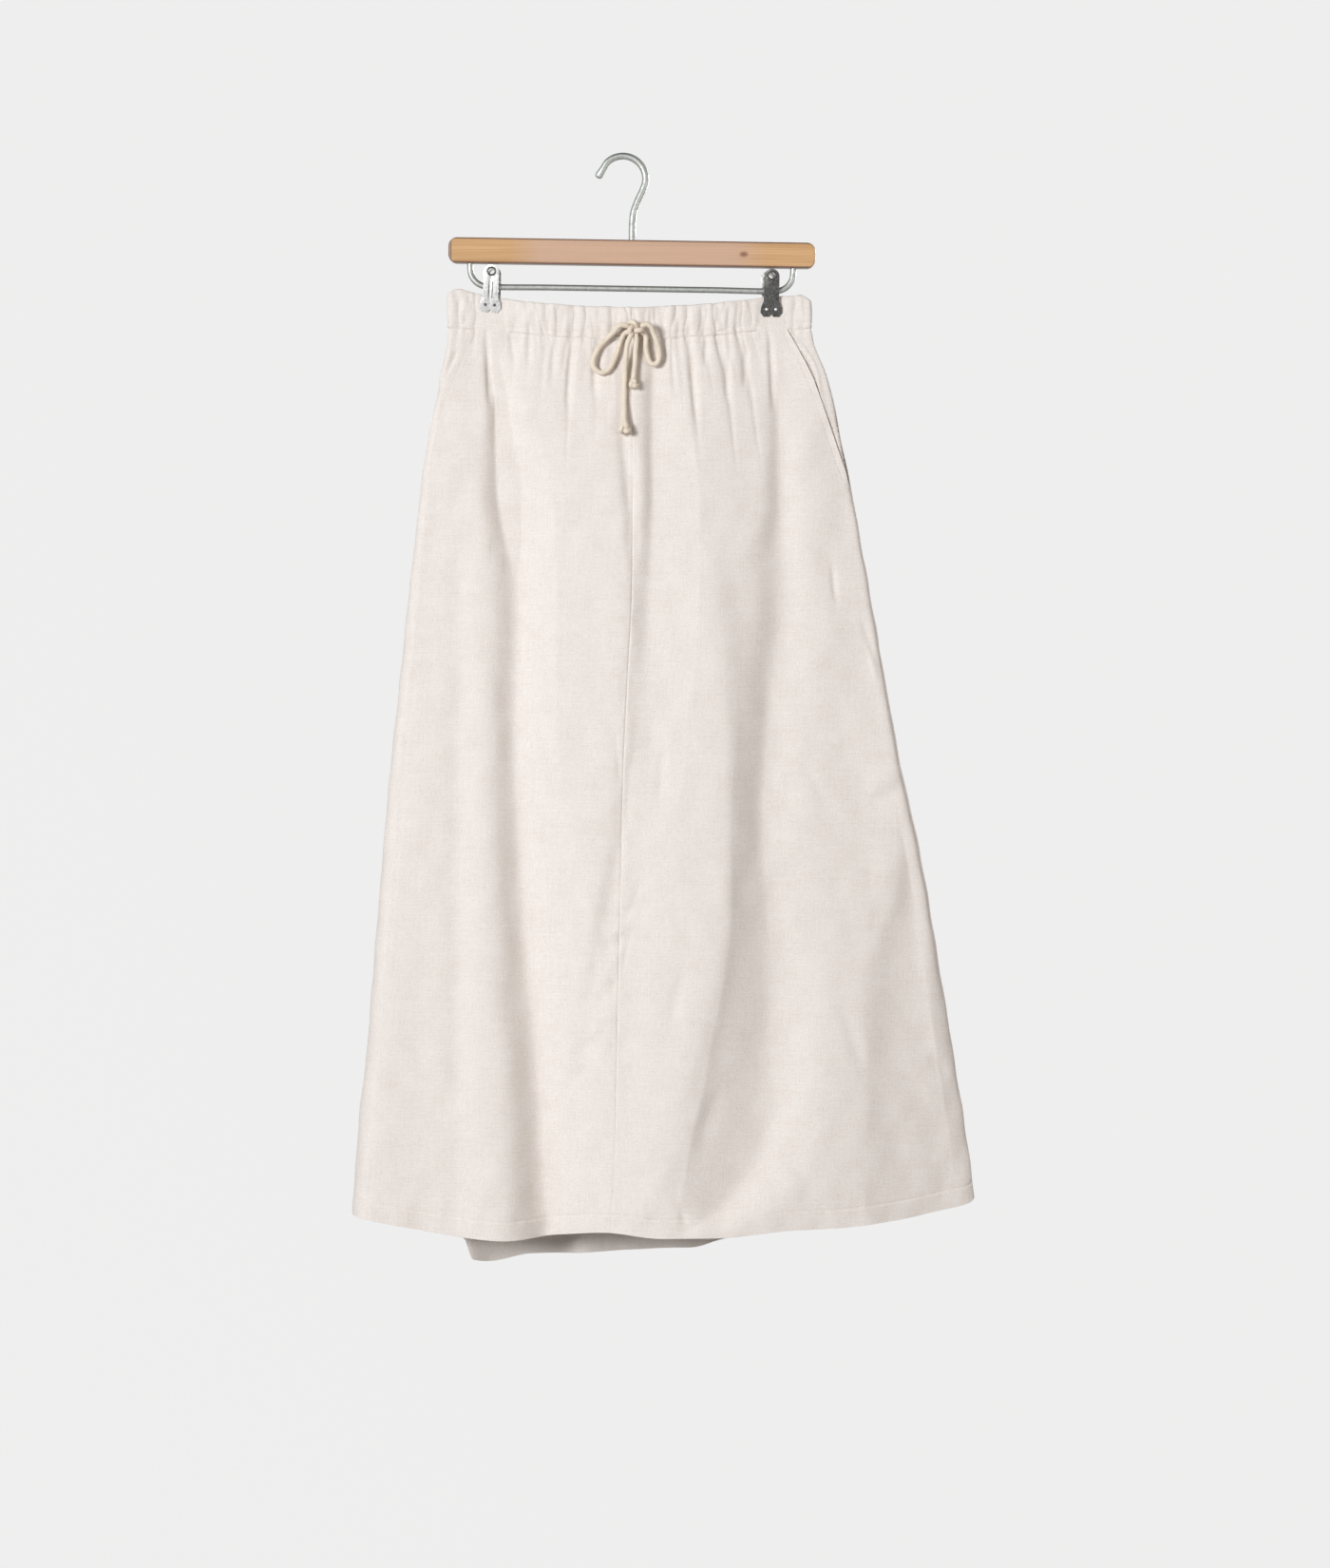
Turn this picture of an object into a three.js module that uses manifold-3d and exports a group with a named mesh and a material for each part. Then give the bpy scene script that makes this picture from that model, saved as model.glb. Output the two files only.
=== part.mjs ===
// A maxi skirt with a gathered drawstring waist, hanging from a wooden clip hanger.
// Millimetres, +Z up, the front of the skirt faces -Y and its right side is at +X.
// The origin is the inner top of the hook, where a rail or a peg holds the hanger.

import * as THREE from 'three';
import { mergeVertices } from 'three/addons/utils/BufferGeometryUtils.js';
import Module from 'manifold-3d';

const wasm = await Module();
wasm.setup();

// Driving sizes of the cloth
const clothWall = 1.2;
const bandWall = 2.4;
const bandStandsProud = 0.6;
const seamGap = 0.3;
const bulgePower = 1.5;
const foldFadeShare = 0.06;
const pocketUnderlap = 25;
const pocketLift = 2.3;
const pinchedHalf = 2.1;

// Driving sizes of the hanger, in its own frame before it tilts
const hangerTilt = THREE.MathUtils.degToRad(0.9);
const barLength = 359;
const barHeight = 25;
const barThickness = 12;
const barCentreX = 9.1;
const barTop = -79;
const barCorner = 8.5;
const barBevel = 1.5;
const wireRadius = 3.2;
const hookRadius = 22.3;
const rodRadius = 3;
const rodHalfSpan = 158;
const rodZ = -126.3;
const rodBend = 13.5;
const fitGap = 0.3;
const clipPlaces = { left: -128.2, right: 146.2 };
const clipAboveRod = 20.5;
const clipBelowRod = 25.7;
const clipTopWidth = 15;
const clipJawWidth = 21;
const clipPlate = 1;
const clipTopSpread = 9;
const hookSeatDepth = 16;
const rodSeatDepth = 10;

// Driving sizes of the drawstring, and its bow's knot
const cordRadius = 2.5;
const cordGap = 0.5;
const knot = { x: 10.5, y: -16.5, z: -167, halfWidth: 9.5, halfDepth: 8, halfHeight: 8 };

// Materials
const cloth = new THREE.MeshStandardMaterial({ color: 0xf0e9df, roughness: 0.95, side: THREE.DoubleSide });
const pocketCloth = new THREE.MeshStandardMaterial({ color: 0xebe3d7, roughness: 0.95 });
const bandCloth = new THREE.MeshStandardMaterial({ color: 0xeee6db, roughness: 0.95 });
const cotton = new THREE.MeshStandardMaterial({ color: 0xe6dac3, roughness: 0.9 });
const wood = new THREE.MeshStandardMaterial({ color: 0xdba564, roughness: 0.5 });
const steel = new THREE.MeshStandardMaterial({ color: 0x9a9f9a, roughness: 0.35, metalness: 1 });
const zinc = new THREE.MeshStandardMaterial({ color: 0xd8d8d4, roughness: 0.3, metalness: 1 });
const darkSteel = new THREE.MeshStandardMaterial({ color: 0x5c5a58, roughness: 0.4, metalness: 1 });

// The hung skirt by height: side folds, centre-front seam, radius of the side folds, and how far
// the front and the back stand out in the middle.
const outline = [
  { z: -120, left: -172, right: 182, seam: 7.4, roll: 4, front: 3, back: 3 },
  { z: -165, left: -172, right: 183, seam: 7.4, roll: 4, front: 3, back: 3 },
  { z: -216, left: -181, right: 200, seam: 7.7, roll: 6, front: 7, back: 6 },
  { z: -309, left: -197, right: 220, seam: 8.2, roll: 9, front: 13, back: 10 },
  { z: -402, left: -208, right: 237, seam: 8.4, roll: 11, front: 18, back: 14 },
  { z: -495, left: -218, right: 253, seam: 4.5, roll: 13, front: 22, back: 18 },
  { z: -588, left: -228, right: 270, seam: 0, roll: 14, front: 26, back: 21 },
  { z: -681, left: -236, right: 290, seam: -2.5, roll: 15, front: 29, back: 24 },
  { z: -774, left: -244, right: 306, seam: -4.6, roll: 16, front: 32, back: 27 },
  { z: -867, left: -252, right: 321, seam: -6.5, roll: 17, front: 35, back: 29 },
  { z: -960, left: -261, right: 336, seam: -8.4, roll: 18, front: 37, back: 31 },
  { z: -1052, left: -267, right: 348, seam: -13, roll: 18, front: 38, back: 32 },
];

// The waistband sags a little between the clips.
const bandEdges = [
  { x: -172, top: -131, bottom: -164.5 },
  { x: -164, top: -127.5, bottom: -165 },
  { x: -130, top: -135, bottom: -167 },
  { x: -70, top: -142, bottom: -173 },
  { x: 7, top: -145.5, bottom: -176 },
  { x: 80, top: -142, bottom: -172.5 },
  { x: 144, top: -135, bottom: -167 },
  { x: 174, top: -133.5, bottom: -165.5 },
  { x: 182, top: -138, bottom: -165 },
];

const frontHem = [
  { x: -267, z: -1031 },
  { x: -200, z: -1044 },
  { x: -147, z: -1052 },
  { x: -115, z: -1054 },
  { x: -55, z: -1049 },
  { x: -14, z: -1045 },
  { x: 34, z: -1049.5 },
  { x: 94, z: -1049 },
  { x: 158, z: -1043 },
  { x: 208, z: -1041 },
  { x: 258, z: -1036 },
  { x: 308, z: -1027 },
  { x: 338, z: -1020 },
  { x: 346, z: -1012 },
];

// The back hangs lower in the middle, and steps up at a pressed fold on the left.
const backHem = [
  { x: -267, z: -1031 },
  { x: -205, z: -1046 },
  { x: -158, z: -1057 },
  { x: -149, z: -1079 },
  { x: -132, z: -1082 },
  { x: -92, z: -1076 },
  { x: -5, z: -1073 },
  { x: 65, z: -1071 },
  { x: 100, z: -1061 },
  { x: 160, z: -1050 },
  { x: 250, z: -1038 },
  { x: 320, z: -1024 },
  { x: 346, z: -1012 },
];

// The slanted pocket edges, which meet the side folds at their lower ends.
const pocketSlant = [
  { z: -160, left: -146, right: 156 },
  { z: -211, left: -171, right: 183 },
  { z: -258, left: -187, right: 200 },
  { z: -327, left: -200, right: 223.5 },
];
const pocketBottom = -327;

// Folds: each runs down through its z values at its x values, and reaches half-way out over the
// left and right widths. A positive depth is a valley and a negative one a ridge.
const frontFolds = [
  {
    name: 'deep valley on the left',
    z: [-165, -400, -680, -1052],
    x: [-137, -125, -111, -97],
    left: [5, 8, 12, 17],
    right: [4, 6, 9, 13],
    depth: [2.5, 8, 13, 19],
  },
  {
    name: 'ridge beside the deep valley',
    z: [-240, -420, -700, -1052],
    x: [-72, -69, -65, -62],
    left: [20, 24, 28, 30],
    right: [6, 7, 10, 16],
    depth: [0, -3.5, -4.5, -3],
  },
  {
    name: 'soft valley near the left side',
    z: [-300, -500, -800, -1052],
    x: [-178, -172, -166, -164],
    left: [12, 14, 18, 20],
    right: [12, 14, 18, 20],
    depth: [0, 2.5, 3.5, 4],
  },
  {
    name: 'centre valley',
    z: [-176, -290, -450, -740],
    x: [24, 30, 14, -2],
    left: [6, 7, 8, 9],
    right: [6, 7, 8, 9],
    depth: [1.5, 4.5, 5, 0],
  },
  {
    name: 'short valley that joins the centre one',
    z: [-220, -300, -370, -450],
    x: [-3, -2, 5, 12],
    left: [5, 5, 5, 5],
    right: [5, 5, 5, 5],
    depth: [0, 3, 2.5, 0],
  },
  {
    name: 'ridge right of the centre',
    z: [-240, -400, -650, -900],
    x: [72, 72, 70, 60],
    left: [22, 26, 30, 30],
    right: [7, 9, 14, 20],
    depth: [0, -3.5, -5, 0],
  },
  {
    name: 'right valley that runs to a point at the hem',
    z: [-165, -440, -600, -780, -930, -1050],
    x: [144, 148, 142, 135, 124, 84],
    left: [5, 9, 20, 28, 40, 34],
    right: [4, 6, 8, 10, 13, 22],
    depth: [2.5, 6, 10, 14, 13, 0],
  },
  {
    name: 'facet that falls away at the lower right',
    z: [-640, -780, -960, -1052],
    x: [268, 282, 305, 316],
    left: [25, 45, 60, 60],
    right: [12, 14, 16, 18],
    depth: [0, 6, 10, 10],
  },
];

const backFolds = [
  {
    name: 'valley that ends in the pressed fold',
    z: [-165, -450, -800, -1082],
    x: [-108, -124, -142, -157],
    left: [6, 10, 12, 10],
    right: [7, 12, 18, 16],
    depth: [2, 8, 13, 15],
  },
  {
    name: 'ridge left of the centre',
    z: [-220, -450, -800, -1082],
    x: [-72, -84, -98, -108],
    left: [14, 18, 20, 22],
    right: [16, 22, 26, 30],
    depth: [0, -3, -6, -8],
  },
  {
    name: 'valley at the centre',
    z: [-172, -420, -760, -1075],
    x: [-18, -24, -34, -42],
    left: [5, 10, 16, 20],
    right: [6, 12, 18, 24],
    depth: [2, 7, 10, 12],
  },
  {
    name: 'ridge right of the centre',
    z: [-230, -480, -800, -1070],
    x: [28, 30, 34, 38],
    left: [12, 16, 20, 24],
    right: [16, 20, 24, 28],
    depth: [0, -3.5, -6, -7],
  },
  {
    name: 'valley right of the centre',
    z: [-170, -430, -780, -1065],
    x: [86, 98, 112, 122],
    left: [6, 10, 16, 20],
    right: [5, 9, 14, 18],
    depth: [2, 8, 12, 14],
  },
  {
    name: 'valley near the right side',
    z: [-250, -500, -800, -1040],
    x: [160, 190, 220, 240],
    left: [10, 14, 18, 22],
    right: [9, 12, 16, 20],
    depth: [0, 5, 8, 9],
  },
];

// Gathers under and on the waistband: where each valley lies on the band, how far down it runs
// and how deep it is.
const frontGathers = [
  { x: -121, length: 62, depth: 1.3 },
  { x: -104, length: 84, depth: 1.5 },
  { x: -90, length: 58, depth: 1.2 },
  { x: -74, length: 96, depth: 1.6 },
  { x: -60, length: 50, depth: 1.1 },
  { x: -46, length: 88, depth: 1.5 },
  { x: -32, length: 46, depth: 1.2 },
  { x: -17, length: 78, depth: 1.5 },
  { x: -2, length: 52, depth: 1.1 },
  { x: 38, length: 44, depth: 1.1 },
  { x: 54, length: 92, depth: 1.6 },
  { x: 68, length: 56, depth: 1.2 },
  { x: 83, length: 100, depth: 1.6 },
  { x: 98, length: 66, depth: 1.3 },
  { x: 111, length: 82, depth: 1.5 },
  { x: 125, length: 48, depth: 1.2 },
];
const backGathers = [
  { x: -158, length: 40, depth: 0.9 },
  { x: -142, length: 70, depth: 1.2 },
  { x: -126, length: 50, depth: 1.2 },
  { x: -92, length: 84, depth: 1.5 },
  { x: -77, length: 56, depth: 1.2 },
  { x: -61, length: 94, depth: 1.6 },
  { x: -46, length: 60, depth: 1.3 },
  { x: -32, length: 86, depth: 1.4 },
  { x: -3, length: 64, depth: 1.3 },
  { x: 12, length: 96, depth: 1.6 },
  { x: 27, length: 52, depth: 1.1 },
  { x: 42, length: 80, depth: 1.5 },
  { x: 57, length: 58, depth: 1.2 },
  { x: 71, length: 90, depth: 1.5 },
  { x: 102, length: 68, depth: 1.3 },
  { x: 117, length: 88, depth: 1.5 },
  { x: 132, length: 54, depth: 1.2 },
  { x: 152, length: 72, depth: 1.2 },
  { x: 168, length: 40, depth: 0.9 },
];
const gatherHalfWidth = 4.6;
const gatherShareOnBand = 0.7;
const gatherLevel = -168;

const front = { side: -1, bulge: 'front', hem: frontHem, folds: frontFolds, gathers: frontGathers };
const back = { side: 1, bulge: 'back', hem: backHem, folds: backFolds, gathers: backGathers };

// A smooth curve through knots that never overshoots them, held level beyond its ends.
function throughKnots(place, places, values) {
  const rising = places[places.length - 1] > places[0];
  const at = rising ? places : [...places].reverse();
  const value = rising ? values : [...values].reverse();
  const last = at.length - 1;
  if (place <= at[0]) return value[0];
  if (place >= at[last]) return value[last];
  let k = 0;
  while (place > at[k + 1]) k += 1;
  const secant = (i) => (value[i + 1] - value[i]) / (at[i + 1] - at[i]);
  const slope = (i) => {
    if (i === 0) return secant(0);
    if (i === last) return secant(last - 1);
    const before = secant(i - 1);
    const after = secant(i);
    return before * after <= 0 ? 0 : (2 * before * after) / (before + after);
  };
  const width = at[k + 1] - at[k];
  const t = (place - at[k]) / width;
  const rest = 1 - t;
  return (
    value[k] * rest * rest * (1 + 2 * t) +
    value[k + 1] * t * t * (3 - 2 * t) +
    width * t * rest * (slope(k) * rest - slope(k + 1) * t)
  );
}

function fromTable(table, axis, column, place) {
  return throughKnots(place, table.map((row) => row[axis]), table.map((row) => row[column]));
}

function smooth(t) {
  const held = Math.min(1, Math.max(0, t));
  return held * held * (3 - 2 * held);
}

function sectionAt(z) {
  const section = {};
  for (const column of ['left', 'right', 'seam', 'roll', 'front', 'back']) {
    section[column] = fromTable(outline, 'z', column, z);
  }
  return section;
}

// How firmly the clips press the band together at a place: 1 in the jaws, 0 away from them.
function clipPinch(x, z) {
  const jawHeight = 8;
  const jawMiddleZ = rodZ - clipBelowRod + jawHeight;
  const fullHalfWidth = 13;
  const fadeAcross = 30;
  const fadeBegins = -158;
  const fadeHeight = 90;
  let pinch = 0;
  for (const place of Object.values(clipPlaces)) {
    const clipX = place * Math.cos(hangerTilt) + jawMiddleZ * Math.sin(hangerTilt);
    pinch = Math.max(pinch, 1 - smooth((Math.abs(x - clipX) - fullHalfWidth) / fadeAcross));
  }
  return pinch * (1 - smooth((fadeBegins - z) / fadeHeight));
}

// How far the cloth stands out from the plane of the side folds, on the flat part of a face.
function standOut(face, x, z, section) {
  const middle = (section.left + section.right) / 2;
  const half = (section.right - section.left) / 2 - section.roll;
  const across = Math.min(1, Math.abs(x - middle) / half);
  let out = section[face.bulge] * (1 - across * across) ** bulgePower;
  let folded = 0;
  for (const fold of face.folds) {
    const away = x - throughKnots(z, fold.z, fold.x);
    const width = throughKnots(z, fold.z, away < 0 ? fold.left : fold.right);
    folded -= throughKnots(z, fold.z, fold.depth) * Math.exp(-((away / width) ** 2));
  }
  const top = sectionAt(gatherLevel);
  for (const gather of face.gathers) {
    const topWidth = gather.x < top.seam ? top.seam - top.left : top.right - top.seam;
    const width = gather.x < top.seam ? section.seam - section.left : section.right - section.seam;
    const line = section.seam + ((gather.x - top.seam) * width) / topWidth;
    const below = gatherLevel - z;
    const strength = below > 0 ? 1 - smooth(below / gather.length) : gatherShareOnBand;
    folded -= gather.depth * strength * Math.exp(-(((x - line) / gatherHalfWidth) ** 2));
  }
  out += folded * smooth((1 - across) / foldFadeShare);
  const pinch = clipPinch(x, z);
  return out * (1 - pinch) + (pinchedHalf - section.roll) * pinch;
}

// A point of the skirt's outer surface: share runs from -1 at the left side fold over 0 at the
// centre-front seam to 1 at the right one, and lift moves the point out along the surface.
function pointOn(face, share, z) {
  const section = sectionAt(z);
  const way = share < 0 ? -1 : 1;
  const width = way < 0 ? section.seam - section.left : section.right - section.seam;
  const straight = width - section.roll;
  const along = Math.abs(share) * (straight + (section.roll * Math.PI) / 2);
  if (along <= straight) {
    const x = section.seam + way * along;
    return { x, y: face.side * (section.roll + standOut(face, x, z, section)) };
  }
  const turn = (along - straight) / section.roll;
  const x = section.seam + way * (straight + section.roll * Math.sin(turn));
  const edge = standOut(face, section.seam + way * straight, z, section);
  return { x, y: face.side * (section.roll * Math.cos(turn) + edge * Math.cos(turn)) };
}

function shareAt(x, z) {
  const section = sectionAt(z);
  const way = x < section.seam ? -1 : 1;
  const width = way < 0 ? section.seam - section.left : section.right - section.seam;
  const straight = width - section.roll;
  const whole = straight + (section.roll * Math.PI) / 2;
  const away = Math.abs(x - section.seam);
  if (away <= straight) return (way * away) / whole;
  const sine = Math.min(1, (away - straight) / section.roll);
  return (way * (straight + section.roll * Math.asin(sine))) / whole;
}

// The outer and inner point of a wall at a share and a height.
function wallPoints(face, share, z, lift, wall) {
  const step = 0.0015;
  const here = pointOn(face, share, z);
  const before = pointOn(face, share - step, z);
  const after = pointOn(face, share + step, z);
  const tangent = new THREE.Vector2(after.x - before.x, after.y - before.y).normalize();
  const outward = new THREE.Vector2(-tangent.y * face.side, tangent.x * face.side);
  const shift = (face.side * seamGap) / 2;
  const at = (distance) => {
    const place = outward.clone().multiplyScalar(distance);
    return new THREE.Vector3(here.x + place.x, here.y + shift + place.y, z);
  };
  return [at(lift), at(lift - wall)];
}

// The height of a place at a share of the way down a face, from the band's edge to the hem.
function heightOf(face, x, down) {
  const top = fromTable(bandEdges, 'x', 'bottom', x) - seamGap;
  return top + (fromTable(face.hem, 'x', 'z', x) - top) * down;
}

function placeOnPanel(face, share, down) {
  let z = heightOf(face, 0, down);
  for (let pass = 0; pass < 4; pass += 1) {
    z = heightOf(face, pointOn(face, share, z).x, down);
  }
  return z;
}

function pocketShare(face, side, down, inset) {
  const way = side === 'left' ? -1 : 1;
  let x = sectionAt(-165)[side];
  let z = heightOf(face, x, down);
  for (let pass = 0; pass < 8; pass += 1) {
    if (z <= pocketBottom && inset === 0) return way;
    x = fromTable(pocketSlant, 'z', side, z) - way * inset;
    z = heightOf(face, x, down);
  }
  return shareAt(x, z);
}

// The front panel stands over the pocket's side piece, and eases down beyond it.
function liftOverPocket(x, z, side) {
  const easeAcross = 24;
  const easeDown = 30;
  const overrun = 6;
  const way = side === 'left' ? -1 : 1;
  const inside = way * (fromTable(pocketSlant, 'z', side, z) - x);
  const across = 1 - smooth((inside - pocketUnderlap - overrun) / easeAcross);
  const downward = 1 - smooth((pocketBottom - z) / easeDown);
  return pocketLift * across * downward;
}

// The shares at which a row has points. Fine rows have four for each gather, the others follow
// the folds, and both turn round the side fold in three steps.
function rowShares(face, z, from, to, fine) {
  const turnSpacing = 0.8;
  const gatherSpacing = 2.2;
  const foldSpacing = 3.5;
  const plainSpacing = 10;
  const plainParts = 12;
  const faintFold = 0.5;
  const section = sectionAt(z);
  const kept = [];
  const reach = (share) => {
    const width = share < 0 ? section.seam - section.left : section.right - section.seam;
    return share * width;
  };
  const add = (share, apart) => {
    if (share <= from || share >= to) return;
    const near = [...kept, from, to].some((other) => Math.abs(reach(other) - reach(share)) < apart);
    if (!near) kept.push(share);
  };
  for (const way of [-1, 1]) {
    const width = way < 0 ? section.seam - section.left : section.right - section.seam;
    const straight = width - section.roll;
    const whole = straight + (section.roll * Math.PI) / 2;
    for (const turn of [0, 1, 2]) {
      add((way * (straight + (section.roll * turn * Math.PI) / 6)) / whole, turnSpacing);
    }
  }
  if (fine) {
    const valleys = [-160, ...face.gathers.map((gather) => gather.x), 170];
    for (let k = 0; k + 1 < valleys.length; k += 1) {
      for (const part of [0, 0.25, 0.5, 0.75]) {
        const x = valleys[k] + (valleys[k + 1] - valleys[k]) * part;
        add(shareAt(x, gatherLevel), gatherSpacing);
      }
    }
    const besideBow = [14, 22];
    for (const x of besideBow) add(shareAt(x, gatherLevel), gatherSpacing);
  } else {
    for (const fold of face.folds) {
      if (Math.abs(throughKnots(z, fold.z, fold.depth)) < faintFold) continue;
      const x = throughKnots(z, fold.z, fold.x);
      const left = throughKnots(z, fold.z, fold.left);
      const right = throughKnots(z, fold.z, fold.right);
      for (const place of [x, x - left * 0.6, x + right * 0.6, x - left * 1.3, x + right * 1.3]) {
        add(shareAt(place, z), foldSpacing);
      }
    }
    for (let k = 1 - plainParts; k < plainParts; k += 1) add(k / plainParts, plainSpacing);
  }
  return [from, ...kept.sort((a, b) => a - b), to];
}

// A closed wall from rows of outer and inner points. Rows may have different numbers of points.
function wallFromRows(rows) {
  const positions = [];
  const triangles = [];
  const numbered = rows.map((row) => {
    const outer = [];
    const inner = [];
    for (const [out, inside] of row.points) {
      outer.push(positions.length / 3);
      positions.push(out.x, out.y, out.z);
      inner.push(positions.length / 3);
      positions.push(inside.x, inside.y, inside.z);
    }
    return { shares: row.shares, outer, inner };
  });
  const strip = (upper, lower, upperShares, lowerShares, turned) => {
    let i = 0;
    let j = 0;
    while (i < upper.length - 1 || j < lower.length - 1) {
      const lowerDone = j === lower.length - 1;
      const upperDone = i === upper.length - 1;
      const moveUpper = lowerDone || (!upperDone && upperShares[i + 1] <= lowerShares[j + 1]);
      const next = moveUpper ? upper[i + 1] : lower[j + 1];
      if (turned) triangles.push(upper[i], next, lower[j]);
      else triangles.push(upper[i], lower[j], next);
      if (moveUpper) i += 1;
      else j += 1;
    }
  };
  for (let k = 0; k + 1 < numbered.length; k += 1) {
    const upper = numbered[k];
    const lower = numbered[k + 1];
    strip(upper.outer, lower.outer, upper.shares, lower.shares, false);
    strip(upper.inner, lower.inner, upper.shares, lower.shares, true);
  }
  const first = numbered[0];
  const last = numbered[numbered.length - 1];
  strip(first.inner, first.outer, first.shares, first.shares, false);
  strip(last.outer, last.inner, last.shares, last.shares, false);
  const steps = numbered.map((row, k) => k);
  const leftOuter = numbered.map((row) => row.outer[0]);
  const leftInner = numbered.map((row) => row.inner[0]);
  const rightOuter = numbered.map((row) => row.outer[row.outer.length - 1]);
  const rightInner = numbered.map((row) => row.inner[row.inner.length - 1]);
  strip(leftOuter, leftInner, steps, steps, false);
  strip(rightOuter, rightInner, steps, steps, true);
  return facingOut(positions, triangles);
}

function facingOut(positions, triangles) {
  let volume = 0;
  const corner = (k) => new THREE.Vector3().fromArray(positions, triangles[k] * 3);
  for (let k = 0; k < triangles.length; k += 3) {
    volume += corner(k).dot(corner(k + 1).cross(corner(k + 2)));
  }
  if (volume < 0) triangles.reverse();
  const geometry = new THREE.BufferGeometry();
  geometry.setAttribute('position', new THREE.Float32BufferAttribute(positions, 3));
  geometry.setIndex(triangles);
  geometry.computeVertexNormals();
  return geometry;
}

// The rows of the panels, as shares of the way from the band to the hem. The front has more of
// them where the pocket edge turns round the side fold.
const fineDowns = [0, 0.016, 0.04, 0.072, 0.115];
const pocketDowns = [0.162, 0.17, 0.178];
const coarseDowns = [0.15, 0.187, 0.25, 0.34, 0.44, 0.54, 0.64, 0.74, 0.83, 0.91, 0.96, 1];

function panelGeometry(face, from, to, side) {
  const rows = [];
  const downs = [...fineDowns, ...coarseDowns, ...(side ? pocketDowns : [])].sort((a, b) => a - b);
  for (const down of downs) {
    const ends = [from, to].map((share) => {
      const atPocket = side && Math.abs(share) === 1;
      return atPocket ? pocketShare(face, side, down, 0) : share;
    });
    const level = placeOnPanel(face, (ends[0] + ends[1]) / 2, down);
    const shares = rowShares(face, level, ends[0], ends[1], fineDowns.includes(down));
    const points = shares.map((share) => {
      const z = placeOnPanel(face, share, down);
      const x = pointOn(face, share, z).x;
      const lift = side ? liftOverPocket(x, z, side) : 0;
      const pair = wallPoints(face, share, z, lift, clothWall);
      const atSeam = side && share === 0;
      const shift = atSeam ? ((side === 'left' ? -1 : 1) * seamGap) / 2 : 0;
      return pair.map((point) => point.setX(point.x + shift));
    });
    rows.push({ shares, points });
  }
  return wallFromRows(rows);
}

function pocketSideGeometry(side) {
  const way = side === 'left' ? -1 : 1;
  const rows = [];
  for (const down of [0, 0.025, 0.055, 0.09, 0.125, 0.155, 0.178]) {
    const inner = pocketShare(front, side, down, pocketUnderlap);
    const section = sectionAt(placeOnPanel(front, way, down));
    const width = way < 0 ? section.seam - section.left : section.right - section.seam;
    const straight = width - section.roll;
    const whole = straight + (section.roll * Math.PI) / 2;
    const shares = [inner];
    const bend = straight / whole;
    for (const part of [0.25, 0.5, 0.75, 1]) shares.push(inner + (way * bend - inner) * part);
    for (const turn of [1, 2, 3]) {
      shares.push((way * (straight + (section.roll * turn * Math.PI) / 6)) / whole);
    }
    shares.sort((a, b) => a - b);
    const points = shares.map((share) => {
      return wallPoints(front, share, placeOnPanel(front, share, down), 0, clothWall);
    });
    rows.push({ shares, points });
  }
  return wallFromRows(rows);
}

function bandGeometry(face) {
  const rows = [];
  for (const down of [0, 0.12, 0.5, 1]) {
    const shares = rowShares(face, gatherLevel, -1, 1, true);
    const points = shares.map((share) => {
      let z = -150;
      for (let pass = 0; pass < 4; pass += 1) {
        const x = pointOn(face, share, z).x;
        const top = fromTable(bandEdges, 'x', 'top', x);
        z = top + (fromTable(bandEdges, 'x', 'bottom', x) - top) * down;
      }
      return wallPoints(face, share, z, bandStandsProud, bandWall);
    });
    rows.push({ shares, points });
  }
  return wallFromRows(rows);
}

// Solids for joins and cuts
function solidOf(geometry) {
  const plain = geometry.clone();
  plain.deleteAttribute('normal');
  plain.deleteAttribute('uv');
  const merged = mergeVertices(plain, 0.0005);
  const vertProperties = new Float32Array(merged.attributes.position.array);
  const triVerts = new Uint32Array(merged.index.array);
  return new wasm.Manifold(new wasm.Mesh({ numProp: 3, vertProperties, triVerts }));
}

function geometryOf(solid) {
  const { vertProperties, triVerts } = solid.getMesh();
  const geometry = new THREE.BufferGeometry();
  geometry.setAttribute('position', new THREE.BufferAttribute(vertProperties, 3));
  geometry.setIndex(new THREE.BufferAttribute(triVerts, 1));
  geometry.computeVertexNormals();
  return geometry;
}

function tubeAlong(curve, radius, sides, steps) {
  const section = new THREE.Shape();
  for (let k = 0; k < sides; k += 1) {
    const turn = (k / sides) * Math.PI * 2;
    const [x, y] = [radius * Math.cos(turn), radius * Math.sin(turn)];
    if (k === 0) section.moveTo(x, y);
    else section.lineTo(x, y);
  }
  section.closePath();
  return new THREE.ExtrudeGeometry(section, { steps, bevelEnabled: false, extrudePath: curve });
}

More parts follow.
